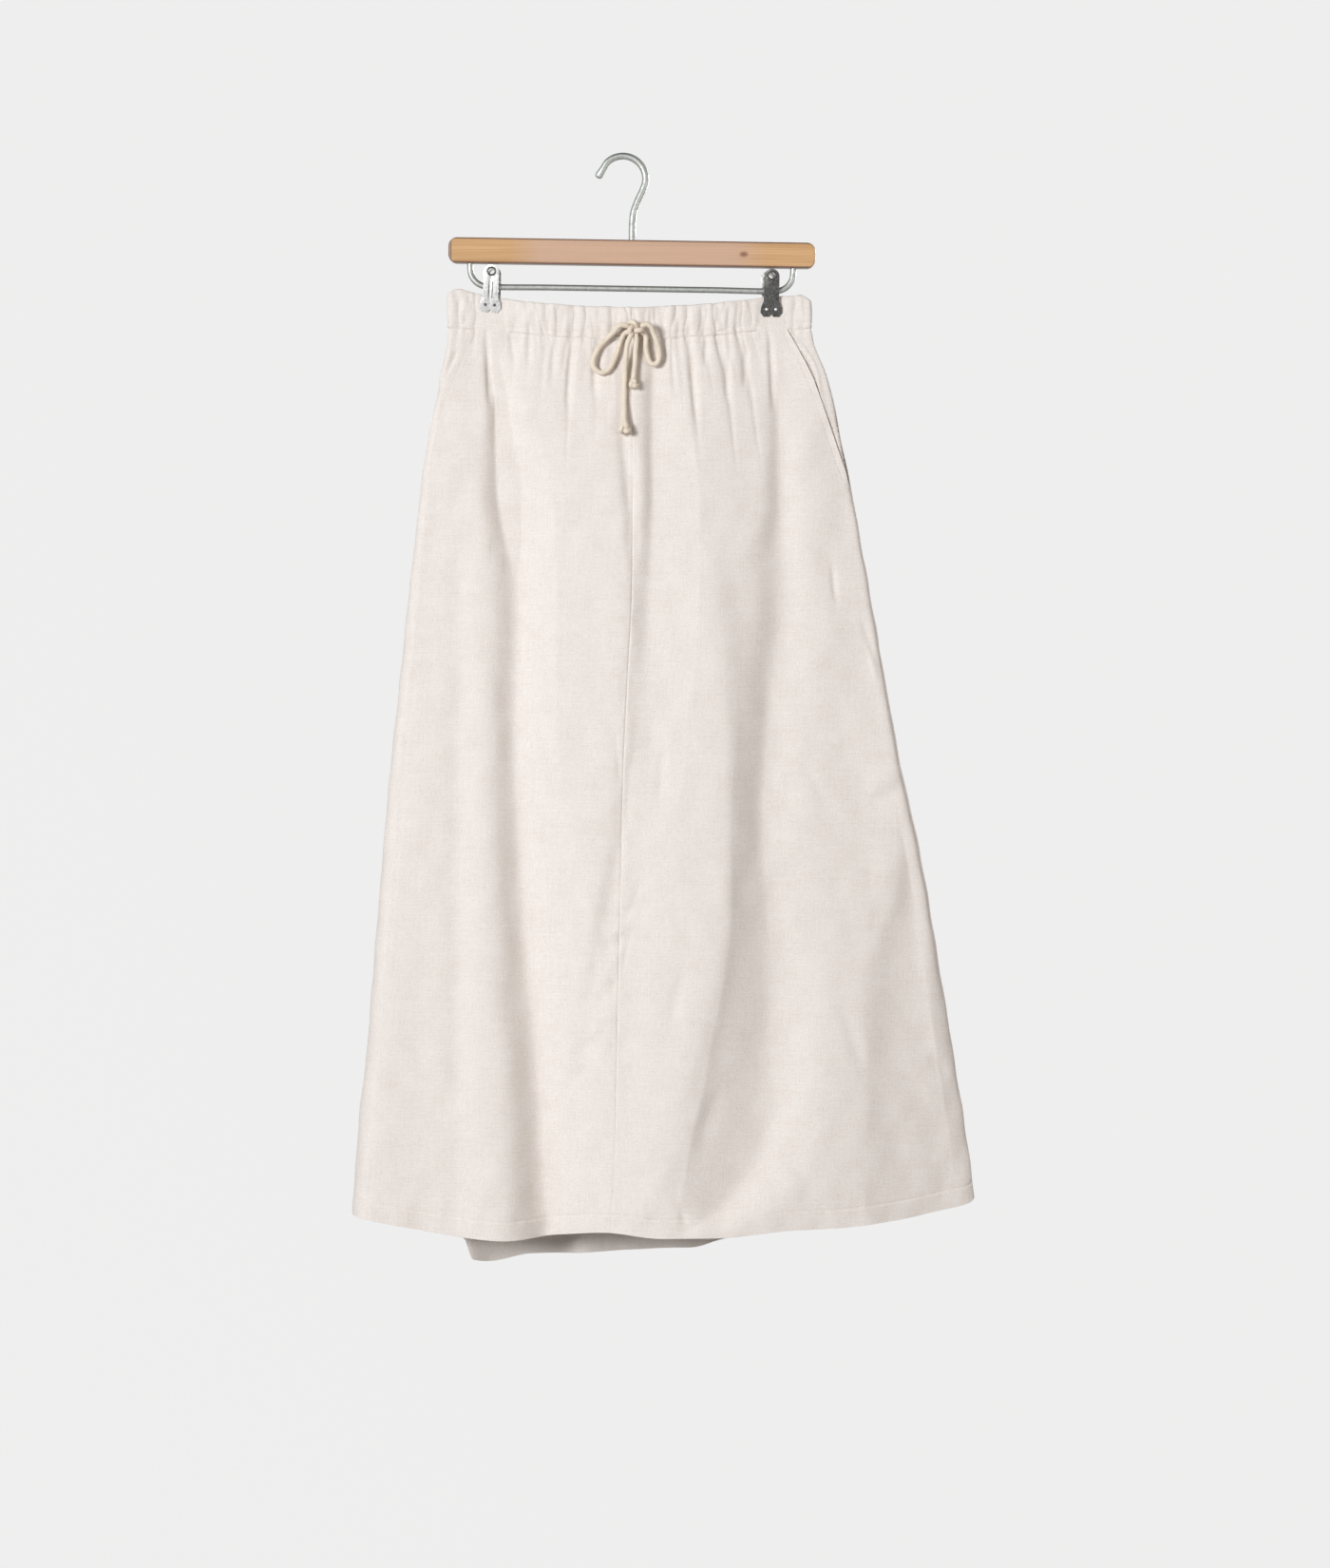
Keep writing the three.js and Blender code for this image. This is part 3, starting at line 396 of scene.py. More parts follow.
# Folds, one row for each height: z, x of the bottom, how far the walls reach left and right, the
# depth, and how crisp the crests on the left and right are, left out where both are soft. A
# negative depth is a ridge.
front_folds = (
    # the deep valley on the left, whose right wall climbs to a crisp crest, and the broad hollow
    # that it lies in
    (
        (-165, -136, 10, 10, 3), (-234, -121, 18, 24, 10), (-327, -116, 28, 46, 14.5, 0, 1),
        (-439, -103, 34, 38, 13, 0, 1), (-551, -105, 34, 40, 13.5, 0, 0.8), (-662, -101, 38, 52, 16, 0, 0.5),
        (-774, -93, 42, 70, 20, 0, 0.3), (-885, -83, 46, 78, 23.5, 0, 0.1), (-1052, -72, 50, 84, 27, 0, 0.1),
    ),
    (
        (-240, -100, 60, 100, 0), (-400, -88, 90, 150, 5.5), (-774, -76, 96, 150, 7),
        (-1052, -56, 100, 150, 8),
    ),
    # the soft trough near the left side
    (
        (-300, -160, 24, 22, 0), (-439, -160, 24, 24, 2.4), (-774, -161, 24, 26, 2.8),
        (-1052, -160, 28, 30, 3),
    ),
    # the centre valley, which also climbs to a crisp crest, and the short one that joins it
    (
        (-180, 30.7, 12, 20, 2.5), (-234, 28.8, 16, 30, 5.5, 0, 0.5), (-327, 29.5, 18, 44, 7.5, 0, 1),
        (-439, 26, 30, 47, 8.5, 0, 1), (-500, 25, 34, 44, 6.8, 0, 1), (-551, 26, 40, 36, 5.8, 0, 0.8),
        (-662, 13, 44, 38, 4.4, 0, 0.6), (-774, 7, 52, 36, 4.4, 0, 0.4), (-885, 1, 64, 38, 4.2, 0, 0.2),
        (-980, -4, 66, 44, 2.5), (-1045, -6, 60, 44, 0),
    ),
    (
        (-200, -2, 12, 12, 0), (-260, -1, 12, 15, 2.2), (-327, 5, 12, 19, 4),
        (-400, 10, 12, 15, 1.6), (-440, 12, 12, 12, 0),
    ),
    # the soft trough that wanders from the centre valley down to the left
    (
        (-500, 15, 14, 14, 0), (-570, 10, 15, 15, 1), (-662, -3, 14, 16, 1.8),
        (-720, -13, 16, 20, 2.2), (-774, -24, 18, 24, 2.6), (-885, -42, 24, 28, 2.2),
        (-980, -52, 28, 30, 1), (-1045, -58, 30, 30, 0),
    ),
    # the right valley, which widens to a scoop and runs to a point at the hem
    (
        (-165, 144, 10, 8, 2.5), (-234, 152.5, 16, 42, 4.8), (-327, 152.5, 22, 30, 6.5),
        (-439, 153, 44, 48, 9), (-551, 141, 32, 60, 10.5, 0.2, 0), (-662, 136, 32, 68, 10.5, 0.4, 0),
        (-774, 143, 42, 74, 12.6, 0.8, 0), (-885, 141, 60, 70, 17, 0.9, 0), (-960, 132, 68, 66, 17, 1, 0),
        (-1010, 108, 52, 64, 12, 1, 0), (-1046, 58, 8, 60, 0, 1, 0),
    ),
    # the broad plateaus beside the valleys, which keep the cloth between them facing forward
    (
        (-370, 78, 46, 40, 0), (-440, 90, 56, 34, -3.5), (-520, 98, 62, 34, -5.2),
        (-700, 97, 70, 34, -6.2), (-774, 92, 68, 32, -5.6), (-885, 64, 58, 34, -4),
        (-1000, 34, 50, 40, -1.5), (-1052, 10, 50, 40, 0),
    ),
    (
        (-480, 230, 50, 30, 0), (-600, 262, 72, 34, -6.5), (-690, 264, 72, 34, -6.5),
        (-760, 246, 64, 42, -4.2),
        (-900, 228, 66, 40, -3), (-1052, 236, 70, 50, -2),
    ),
    (
        (-420, -190, 24, 40, 0), (-600, -207, 26, 52, -3), (-900, -236, 26, 72, -8.5),
        (-1052, -246, 24, 80, -11),
    ),
    # the facet that falls away at the lower right, from a slanting crest
    (
        (-640, 290, 8, 24, 0, 1, 0), (-681, 288, 14, 26, 1.6, 1, 0), (-774, 282, 44, 34, 2.6, 1, 0),
        (-885, 326, 90, 90, 6.2, 0.7, 0), (-997, 356, 120, 150, 12, 0.3, 0), (-1052, 362, 130, 180, 13, 0.3, 0),
    ),
)
back_folds = (
    (
        (-165, -108, 12, 14, 2), (-450, -124, 20, 24, 8), (-800, -142, 26, 36, 12),
        (-1082, -157, 22, 36, 14),
    ),
    (
        (-220, -72, 28, 32, 0), (-450, -84, 36, 44, -3), (-800, -98, 40, 52, -6),
        (-1082, -108, 44, 60, -8),
    ),
    (
        (-172, -18, 10, 12, 2), (-420, -24, 20, 34, 7, 0, 0.2), (-760, -34, 32, 46, 10),
        (-1075, -42, 40, 48, 12),
    ),
    (
        (-230, 28, 24, 32, 0), (-480, 30, 32, 40, -3.5), (-800, 34, 40, 48, -6),
        (-1070, 38, 48, 56, -7),
    ),
    (
        (-170, 86, 12, 10, 2), (-430, 98, 24, 18, 7, 0.5, 0), (-780, 112, 34, 28, 10, 0.3, 0),
        (-1065, 122, 40, 36, 12),
    ),
    (
        (-250, 160, 20, 18, 0), (-500, 190, 30, 26, 5), (-800, 220, 38, 32, 8),
        (-1040, 240, 44, 40, 9),
    ),
)

# Gathers under and on the waistband: x on the band, how far down each runs, and its depth
front_gathers = (
    (-163, 44, 1.3), (-150, 38, 1.2), (-121, 74, 1.9), (-104, 98, 2.1), (-90, 60, 1.6), (-76, 84, 1.9),
    (-64, 46, 1.3), (-49.5, 150, 2.7), (-37, 60, 1.6), (-25, 124, 2.1), (-12, 72, 1.5), (38, 52, 1.5),
    (52, 84, 1.9), (62.5, 142, 2.9), (78, 74, 1.7), (92, 154, 2.9), (101, 60, 1.5), (112, 142, 2.7),
    (126, 62, 1.6), (163, 34, 1.1),
)
back_gathers = (
    (-158, 44, 1.3), (-142, 78, 1.8), (-126, 52, 1.5), (-92, 96, 2.1), (-77, 58, 1.6), (-61, 140, 2.5),
    (-46, 62, 1.6), (-32, 98, 2.0), (-3, 66, 1.7), (12, 146, 2.6), (27, 54, 1.5), (42, 90, 2.0),
    (57, 60, 1.6), (71, 128, 2.4), (102, 70, 1.7), (117, 110, 2.2), (132, 56, 1.5), (152, 80, 1.7),
    (168, 40, 1.2),
)
gather_half_width = 4.4
gather_share_on_band = 0.7
gather_level = -168

# Small creases: where each starts and ends as x and z, its half width, and its depth, which is
# positive for a trough and negative for a ridge
front_creases = (
    (-11, -741, 31, -729, 3.4, 2.8), (-19, -760, 18, -740, 3.4, -2.5), (-25, -774, 12, -755, 3.4, 2.8),
    (-27, -820, -2, -802, 3.8, 2.8), (-32, -847, -6, -830, 3.8, -2.3), (-53, -876, -15, -854, 4.4, 3.0),
    (-62, -914, -30, -876, 4.6, 2.6), (8, -752, -4, -800, 3.0, 1.2), (20, -700, 2, -742, 3.4, 1.4),
    (231, -620, 272, -599, 4.0, -2.4), (236, -632, 276, -612, 4.0, 2.0), (254, -652, 286, -668, 3.6, 1.7),
    (277, -676, 231, -778, 8.0, 1.2), (296, -876, 319, -895, 5.0, 2.0), (285, -905, 322, -925, 5.0, -1.5),
    (203, -393, 207, -438, 3.2, 1.7), (231, -446, 245, -492, 3.6, 1.5), (236, -468, 248, -516, 3.2, -1.2),
    (170, -588, 198, -625, 5.0, 1.4), (-134, -378, -118, -388, 2.6, 1.5), (-132, -392, -116, -398, 2.6, -1.4),
    (-174, -212, -192, -242, 2.8, 1.5), (-160, -182, -176, -214, 2.6, 1.4), (-190, -330, -176, -345, 3.0, 1.2),
    (-220, -560, -198, -590, 4.0, 1.2), (-236, -720, -214, -752, 4.5, 1.2), (-90, -560, -84, -640, 5.0, 1.0),
    (-113, -160, -107, -202, 3.0, 1.5), (-68, -168, -71, -226, 3.2, 1.6), (-55, -168, -60, -212, 2.6, 1.3),
    (-51, -172, -56, -256, 3.0, 1.7), (66, -180, 71, -270, 3.2, 2.0), (82, -170, 78, -206, 2.8, 1.4),
    (103, -172, 100, -244, 3.2, 1.6), (120, -176, 117, -232, 3.2, 1.5), (-135, -158, -130, -255, 3.2, 2.4),
    (142, -160, 147, -255, 3.2, 2.4), (-27, -176, -30, -240, 3.2, 1.5), (46, -180, 50, -236, 3.2, 1.4),
    (-92, -164, -94, -206, 3.0, 1.3), (40, -560, 34, -640, 5.0, 1.2), (60, -780, 44, -850, 6.0, 1.2),
    (96, -900, 72, -960, 7.0, 1.4), (-30, -940, -22, -1010, 5.0, 1.4), (4, -1000, 30, -1036, 5.0, -1.4),
    (50, -1010, 62, -1040, 4.0, 1.4), (150, -960, 190, -1010, 7.0, 1.5), (210, -820, 236, -900, 7.0, 1.4),
    (-8, -560, -2, -620, 3.4, 1.0),
)
back_creases = (
    (-152, -270, -136, -400, 6.0, 1.0), (-60, -250, -68, -370, 5.5, 0.9), (-38, -450, -56, -600, 8.0, 1.0),
    (8, -500, 22, -630, 8.0, 0.9), (58, -280, 68, -410, 6.0, 1.0), (126, -310, 154, -450, 6.5, 1.1),
    (184, -370, 218, -470, 6.0, 1.1), (216, -545, 270, -592, 6.0, 1.5), (224, -640, 282, -678, 6.5, -1.1),
    (-204, -410, -174, -490, 6.0, 1.0), (-224, -630, -182, -690, 7.5, 1.0), (-236, -790, -196, -846, 8.0, -0.9),
    (-94, -660, -74, -830, 9.0, 1.0), (-8, -752, 40, -796, 6.0, 1.3), (-16, -780, 32, -818, 6.0, -1.0),
    (-22, -812, 22, -844, 6.0, 1.0), (68, -600, 80, -770, 9.0, 0.9), (146, -660, 172, -830, 9.0, 1.0),
    (-124, -870, -94, -1010, 9.0, 1.1), (-26, -890, 8, -1030, 9.0, 1.0), (94, -890, 68, -1030, 9.0, 1.0),
    (174, -850, 212, -990, 9.5, 1.0), (262, -840, 306, -950, 9.0, 1.3), (-246, -910, -206, -1000, 8.0, 0.9),
)


def along_knots(place, places, values):
    """A smooth curve through knots that never overshoots them, held level beyond its ends."""
    at = np.asarray(places, float)
    value = np.asarray(values, float)
    if at[0] > at[-1]:
        at, value = at[::-1], value[::-1]
    secant = np.diff(value) / np.diff(at)
    before, after = secant[:-1], secant[1:]
    turning = before * after <= 0
    inner = np.where(turning, 0, 2 * before * after / np.where(turning, 1, before + after))
    slope = np.concatenate([secant[:1], inner, secant[-1:]])
    place = np.clip(place, at[0], at[-1])
    k = np.clip(np.searchsorted(at, place, side="right") - 1, 0, len(at) - 2)
    width = at[k + 1] - at[k]
    t = (place - at[k]) / width
    rest = 1 - t
    level = value[k] * rest**2 * (1 + 2 * t) + value[k + 1] * t**2 * (3 - 2 * t)
    return level + width * t * rest * (slope[k] * rest - slope[k + 1] * t)


def ease(t):
    """A soft step from 0 to 1."""
    held = np.clip(t, 0, 1)
    return held**2 * (3 - 2 * held)


def band_at(x, edge):
    return along_knots(x, band_edges["x"], band_edges[edge])


def section_at(z):
    return {column: along_knots(z, outline["z"], outline[column]) for column in outline_columns[1:]}


gathered_top = {column: float(value) for column, value in section_at(gather_level).items()}
hanger_tilt = math.radians(0.9)
clip_places = {"left": -128.2, "right": 146.2}
jaw_middle_z = -144.0
jaw_end_z = -158.0
pinched_half = 2.1
# Half the width that the clips hold, and how far this fades out beside and below them
pinch_reach = (13, 30, 90)
jaw_grip = (10, 7, 30)


def down_from_band(band_x, section):
    """Where a line that starts at this x on the band has got to at the section's height."""
    edge, way = ("left", -1) if band_x < gathered_top["seam"] else ("right", 1)
    top_width = way * (gathered_top[edge] - gathered_top["seam"])
    width = way * (section[edge] - section["seam"])
    return section["seam"] + (band_x - gathered_top["seam"]) * width / top_width


def half_width(section, on_left):
    """How far the side fold lies from the seam, on the left or on the right."""
    return np.where(on_left, section["seam"] - section["left"], section["right"] - section["seam"])


def near_clips(x, z, held, beside, below):
    """1 where the clips' jaws hold the cloth, fading to 0 over these lengths beside and below."""
    near = 0
    for place in clip_places.values():
        clip_x = place * math.cos(hanger_tilt) + jaw_middle_z * math.sin(hanger_tilt)
        near = np.maximum(near, 1 - ease((np.abs(x - clip_x) - held) / beside))
    return near * (1 - ease((jaw_end_z - z) / below))


def dip(distance, depth, width):
    """A soft hollow of this depth across a line, or a ridge where the depth is negative."""
    return -depth * np.exp(-((distance / width) ** 2))


def stand_out(face, x, z, section):
    """How far the cloth stands out from the plane of its side folds."""
    middle = (section["left"] + section["right"]) / 2
    half = (section["right"] - section["left"]) / 2 - section["roll"]
    across = np.minimum(1, np.abs(x - middle) / half)
    out = section[face["bulge"]] * (1 - across**2) ** 1.5
    folded = np.zeros_like(x)
    for rows in face["folds"]:
        heights, *columns = zip(*(row + (0, 0) if len(row) == 5 else row for row in rows))
        middle_x, left, right, depth, crisp_left, crisp_right = (along_knots(z, heights, c) for c in columns)
        away = x - middle_x
        reach = np.abs(away) / np.where(away < 0, left, right)
        crisp = np.where(away < 0, crisp_left, crisp_right)
        soft = np.exp(-((2 * reach) ** 2))
        straight = np.clip(1.244 - 1.22 * np.sqrt(reach**2 + 0.04), 0, 1)
        folded -= depth * (soft + (straight - soft) * crisp)
    below = gather_level - z
    for gather_x, length, depth in face["gathers"]:
        strength = np.where(below > 0, (1 - np.clip(below / length, 0, 1)) ** 1.25, gather_share_on_band)
        taper = gather_half_width * (1 - 0.55 * ease(below / length))
        folded += dip(x - down_from_band(gather_x, section), depth * strength, taper)
    out = np.maximum(out + folded, 3 - section["roll"])
    pinch = near_clips(x, z, *pinch_reach)
    return out * (1 - pinch) + (pinched_half - section["roll"]) * pinch


def on_section(face, share, z):
    """A place on the hung cloth: share runs from -1 at the left side fold over 0 at the
    centre-front seam to 1 at the right one."""
    section = section_at(z)
    way = np.where(share < 0, -1.0, 1.0)
    straight = half_width(section, share < 0) - section["roll"]
    whole = straight + section["roll"] * math.pi / 2
    flat = np.minimum(np.abs(share) * whole, straight)
    turn = np.maximum(np.abs(share) * whole - straight, 0) / section["roll"]
    edge = stand_out(face, section["seam"] + way * flat, z, section)
    x = section["seam"] + way * (flat + section["roll"] * np.sin(turn))
    # The right side fold lies flat in front, and its lower part falls away to a pressed edge.
    power = 3.5 - 2.45 * ease((-700 - z) / 150)
    flattened = 1 - (turn / (math.pi / 2)) ** power
    rounding = np.where((way > 0) & (face["side"] < 0), flattened, np.cos(turn))
    y = face["side"] * (section["roll"] + edge) * rounding
    return np.stack([x, y, z + np.zeros_like(x)], axis=1), way * np.abs(share) * whole


def on_cloth(face, share, z):
    """Places on the hung cloth, their outward normals, and their way across from the seam."""
    here, reach = on_section(face, share, z)
    across = on_section(face, share + 0.002, z)[0] - on_section(face, share - 0.002, z)[0]
    down = on_section(face, share, z - 0.5)[0] - on_section(face, share, z + 0.5)[0]
    normal = np.cross(across, down) * face["side"]
    normal /= np.linalg.norm(normal, axis=1)[:, None]
    return here, normal, reach


def crease_relief(face, x, z):
    """How far the small creases stand out."""
    relief = np.zeros_like(x)
    for start_x, start_z, end_x, end_z, width, depth in face["creases"]:
        length = math.hypot(end_x - start_x, end_z - start_z)
        run_x, run_z = (end_x - start_x) / length, (end_z - start_z) / length
        along = (x - start_x) * run_x + (z - start_z) * run_z
        away = (x - start_x) * run_z - (z - start_z) * run_x
        fade = ease(along / (0.35 * length)) * ease((length - along) / (0.35 * length))
        relief += dip(away, depth * fade, width)
    return relief


def rumple(face, x, z):
    """The faint unevenness of washed cloth, in long soft waves."""
    draw = np.random.default_rng(face["seed"])
    relief = np.zeros_like(x)
    for _ in range(26):
        across = draw.uniform(30, 110)
        along = across * draw.uniform(1.6, 4.5)
        lean = draw.uniform(-0.35, 0.35)
        phase = draw.uniform(0, 2 * math.pi)
        relief += draw.uniform(0.05, 0.17) * np.sin(2 * math.pi * ((x + lean * z) / across) + phase) * np.sin(
            2 * math.pi * z / along + phase * 1.7
        )
    return relief


def drawn_puckers(seed):
    """The fine puckers that the elastic draws: x, half width, depth, length below the band, lean."""
    draw = np.random.default_rng(seed)
    puckers = []
    place = -168.0
    while place < 178:
        long_one = draw.uniform() < 0.3
        length = draw.uniform(26, 52) if long_one else draw.uniform(7, 22)
        puckers.append((place, draw.uniform(1.1, 2.1), draw.uniform(0.35, 1.0), length, draw.uniform(-7, 7)))
        place += draw.uniform(4.2, 9.8)
    return puckers


def pucker_relief(face, x, z, section):
    """How the fine puckers run on from the band into the skirt's gathered top."""
    below = band_at(x, "bottom") - z
    relief = np.zeros_like(x)
    for pucker_x, width, depth, length, lean in face["puckers"]:
        line = down_from_band(pucker_x, section) - lean * below / 60
        relief += dip(x - line, depth * (1 - ease(below / length)), width * (1 + below / 40))
    puffed = dip(below - 7, -0.9, 6) + dip(below, 0.6, 1.6)
    return (relief + puffed) * (1 - 0.8 * near_clips(x, z, *jaw_grip))


front = {
    "side": -1, "bulge": "front", "hem": front_hem, "folds": front_folds, "gathers": front_gathers,
    "creases": front_creases, "seed": 11, "puckers": drawn_puckers(4),
}
back = {
    "side": 1, "bulge": "back", "hem": back_hem, "folds": back_folds, "gathers": back_gathers,
    "creases": back_creases, "seed": 23, "puckers": drawn_puckers(9),
}


def height_of(face, x, down):
    """The height at a share of the way down a face, from the band's edge to the hem."""
    top = band_at(x, "bottom") - 0.3
    hem_x, hem_z = zip(*face["hem"])
    return top + (along_knots(x, hem_x, hem_z) - top) * down


def down_panel(face, share, down):
    """The height at a share across and a share of the way down a face."""
    z = height_of(face, np.zeros_like(share), down)
    for _ in range(4):
        z = height_of(face, on_section(face, share, z)[0][:, 0], down)
    return z


yarn_turns = 7800


def weave_cloth(name, dark, light):
    """Linen and cotton cloth: yarns with slubs both ways, fine specks, and a faint mottle."""
    material, tree, shader = start_material(name, Roughness=0.94, Sheen_Weight=0.1, Sheen_Roughness=0.5)
    weave = add_node(tree, "ShaderNodeUVMap", uv_map="weave").outputs["UV"]

    def total(first, second):
        return combined(tree, "ADD", first, second)

    def product(first, second):
        return combined(tree, "MULTIPLY", first, second)

    yarns = total(streaks(tree, weave, 1500, 130), streaks(tree, weave, 130, 1500))
    slubs = total(streaks(tree, weave, 620, 22, detail=2.0), streaks(tree, weave, 22, 620, detail=2.0))
    specks = streaks(tree, weave, 560, 560, detail=4.0, roughness=0.7)
    mottle = streaks(tree, weave, 45, 45, detail=3.0)
    fine = total(yarns, product(specks, 1.6))
    tone = total(fine, total(product(slubs, 0.5), product(mottle, 0.5)))
    colour = shade_between(tree, spread(tree, tone, 2.1, 3.0, 0, 1), dark, light)
    split = add_node(tree, "ShaderNodeSeparateXYZ", {"Vector": weave})
    waves = [combined(tree, "SINE", product(split.outputs[axis], yarn_turns)) for axis in ("X", "Y")]
    height = total(total(yarns, specks), product(product(*waves), 0.25))
    finish_material(tree, shader, colour, (0.5, 0.0004, height))
    return material


linen = weave_cloth("off-white linen", (0.735, 0.672, 0.628, 1), (0.877, 0.832, 0.80, 1))
cloth_wall = 0.8
hem_wall = 1.5
hem_depth = 18.0
panel_length = 880
# The share of the way down at which the cloth starts, a little inside the band
tucked_in = -0.003
rows_of_panel = np.concatenate(
    [
        np.linspace(tucked_in, 0.12, 60, endpoint=False),
        np.linspace(0.12, 0.972, 112, endpoint=False),
        np.linspace(0.972, 1, 32),
    ]
)

# The slanted pocket edges, which meet the side folds at their lower ends: z, left, right
pocket_rows = ((-160, -146, 156), (-211, -171, 183), (-258, -187, 200), (-327, -200, 223.5))
pocket_slant = by_column(("z", "left", "right"), pocket_rows)
ways = {"left": -1, "right": 1}
pocket_bottom = -327
pocket_underlap = 25
side_piece_ends = 0.181


def slant_at(z, side):
    return along_knots(z, pocket_slant["z"], pocket_slant[side])


def share_at(x, z):
    """The share across at which the cloth has this x."""
    section = section_at(z)
    on_left = x < section["seam"]
    straight = half_width(section, on_left) - section["roll"]
    away = np.abs(x - section["seam"])
    bent = section["roll"] * np.arcsin(np.clip((away - straight) / section["roll"], 0, 1))
    reach = np.where(away <= straight, away, straight + bent)
    return np.where(on_left, -1, 1) * reach / (straight + section["roll"] * math.pi / 2)


def pocket_share(side, down, inset):
    """The share at which the slanted pocket edge lies, or a line this far inside it."""
    x = np.full_like(down, outline[side][1])
    z = height_of(front, x, down)
    for _ in range(8):
        x = slant_at(z, side) - ways[side] * inset
        z = height_of(front, x, down)
    share = share_at(x, z)
    return np.where((z <= pocket_bottom) & (inset == 0), ways[side], share)


def pocket_hollow(x, z, side):
    """The soft hollow along the lower part of the right pocket edge."""
    if side == "left":
        return np.zeros_like(x)
    inside = slant_at(z, side) - x
    return 2.0 * dip(z + 295, 1, 55) * dip(inside - 2, 1, 14)


def lift_over_pocket(x, z, side):
    """The front panel stands over the pocket, and its edge gapes a little on the right."""
    inside = ways[side] * (slant_at(z, side) - x)
    across = 1 - ease((inside - pocket_underlap) / 24)
    downward = 1 - ease((pocket_bottom - z) / 30)
    gape = 1.3 if side == "right" else 0.2
    raised = 0.95 + 0.35 * ease((z + 300) / 60)
    gaping = (dip(z + 205, -gape, 26) + dip(z + 270, -0.7 * gape, 34)) * np.exp(-np.clip(inside, 0, None) / 7)
    return (raised + gaping) * across * downward - pocket_hollow(x, z, side)


def from_side_fold(share, reach):
    """How far a place is from its side fold, by the cloth's surface. It is 0 on the seam too, which
    leaves a fine pressed line there, also down the middle of the back."""
    return (1 - np.abs(share)) * np.abs(reach) / np.maximum(np.abs(share), 1e-6)


def panel_mesh(name, face, from_share, to_share, side, columns):
    """A panel of the skirt. Its points run along rows from the band down to the hem."""
    rows = len(rows_of_panel) - 1

    def shape(across, along):
        down = rows_of_panel[np.rint(along * rows).astype(int)]
        low = np.full_like(down, from_share)
        high = np.full_like(down, to_share)
        if side == "left":
            low = pocket_share(side, down, 0)
        elif side == "right":
            high = pocket_share(side, down, 0)
        step = across if face["side"] > 0 else 1 - across
        share = low + (high - low) * step
        z = down_panel(face, share, down)
        here, normal, reach = on_cloth(face, share, z)
        x = here[:, 0]
        lift = crease_relief(face, x, z) + rumple(face, x, z) * ease(down / 0.06)
        section = section_at(z)
        if side:
            lift += lift_over_pocket(x, z, side)
            lift += dip(reach, 0.14, 1.0)
            puckered = 0.4 * np.sin(z / 5.3 + 2.2 * np.sin(z / 41)) + 0.35 * np.sin(z / 13.7 + 1.3 * np.sin(z / 67))
            lift -= puckered * dip(np.abs(reach) - 4.5, 1, 4.5) * ease((-200 - z) / 60)
            edge = low if side == "left" else high
            from_edge = np.abs(share - edge) * half_width(section, reach < 0)
            at_pocket = ease((z - pocket_bottom) / 8)
            lift += at_pocket * (dip(from_edge, -0.25, 2.2) + dip(from_edge - 6.0, 0.22, 0.9))
        lift += pucker_relief(face, x, z, section)
        side_away = from_side_fold(share, reach)
        lift += dip(side_away, 0.6, 1.5) - 0.3 * np.sin(z / 8.3) * dip(side_away - 4, 1, 5)
        from_hem = (1 - down) * panel_length
        pucker = -0.16 * np.sin(x / 3.1 + 2 * np.sin(x / 17)) * dip(from_hem - hem_depth, 1, 9)
        lift += dip(from_hem - hem_depth, 0.4, 1.1) + 0.25 * ease((hem_depth - from_hem) / 2) + pucker
        points = here + normal * lift[:, None]
        return points, np.stack([reach, z], axis=1)

    return shaped_grid(name, columns, rows, shape)


def add_wall(piece, thickness):
    """The cloth's thickness, inwards from its outer face."""
    wall = piece.modifiers.new("wall", "SOLIDIFY")
    wall.thickness = thickness * mm
    wall.offset = -1
    wall.use_even_offset = False
    return wall


def thicken(piece, columns):
    """Gives a panel its wall, which is double where the hem is turned up."""
    hem = piece.vertex_groups.new(name="hem")
    in_hem = (1 - np.repeat(rows_of_panel, columns + 1)) * panel_length <= hem_depth + 0.8
    hem.add(np.nonzero(in_hem)[0].tolist(), 1.0, "REPLACE")
    hem.add(np.nonzero(~in_hem)[0].tolist(), cloth_wall / hem_wall, "REPLACE")
    add_wall(piece, hem_wall).vertex_group = "hem"


panels = (
    ("skirt_front_left", front, -1, 0, "left", 222),
    ("skirt_front_right", front, 0, 1, "right", 238),
    ("skirt_back", back, -1, 1, None, 240),
)
# The finished panel pieces, by the names of the nodes that they replace
panel_pieces = {}
for name, face, from_share, to_share, side, columns in panels:
    mesh = panel_mesh(name, face, from_share, to_share, side, columns)
    piece = add_piece(name.replace("skirt", "panel"), mesh, linen, "skirt_cloth", name)
    thicken(piece, columns)
    panel_pieces[name] = piece


# The pocket's side pieces are the same cloth. Each shows beside its slanted edge and runs on
# under the front panel.
def pocket_mesh(name, side):
    rows = 110

    def shape(across, along):
        down = tucked_in + (side_piece_ends - tucked_in) * along
        low = pocket_share(side, down, pocket_underlap)
        share = low + (ways[side] - low) * across
        z = down_panel(front, share, down)
        here, normal, reach = on_cloth(front, share, z)
        x = here[:, 0]
        outside = ways[side] * (x - slant_at(z, side))
        lift = dip(from_side_fold(share, reach), 0.5, 1.5) + pucker_relief(front, x, z, section_at(z))
        crease_away = outside + dip(z + 198, 7.0, 24) + 1.5
        upper = ease((z + 262) / 30) if side == "right" else 0
        lift += upper * (dip(crease_away - 2, -0.9, 2.2) + dip(crease_away + 0.6, 0.9, 1.4))
        lift += crease_relief(front, x, z) + rumple(front, x, z) * ease(down / 0.06) - pocket_hollow(x, z, side)
        return here + normal * lift[:, None], np.stack([reach, z], axis=1)

    return shaped_grid(name, 60, rows, shape)


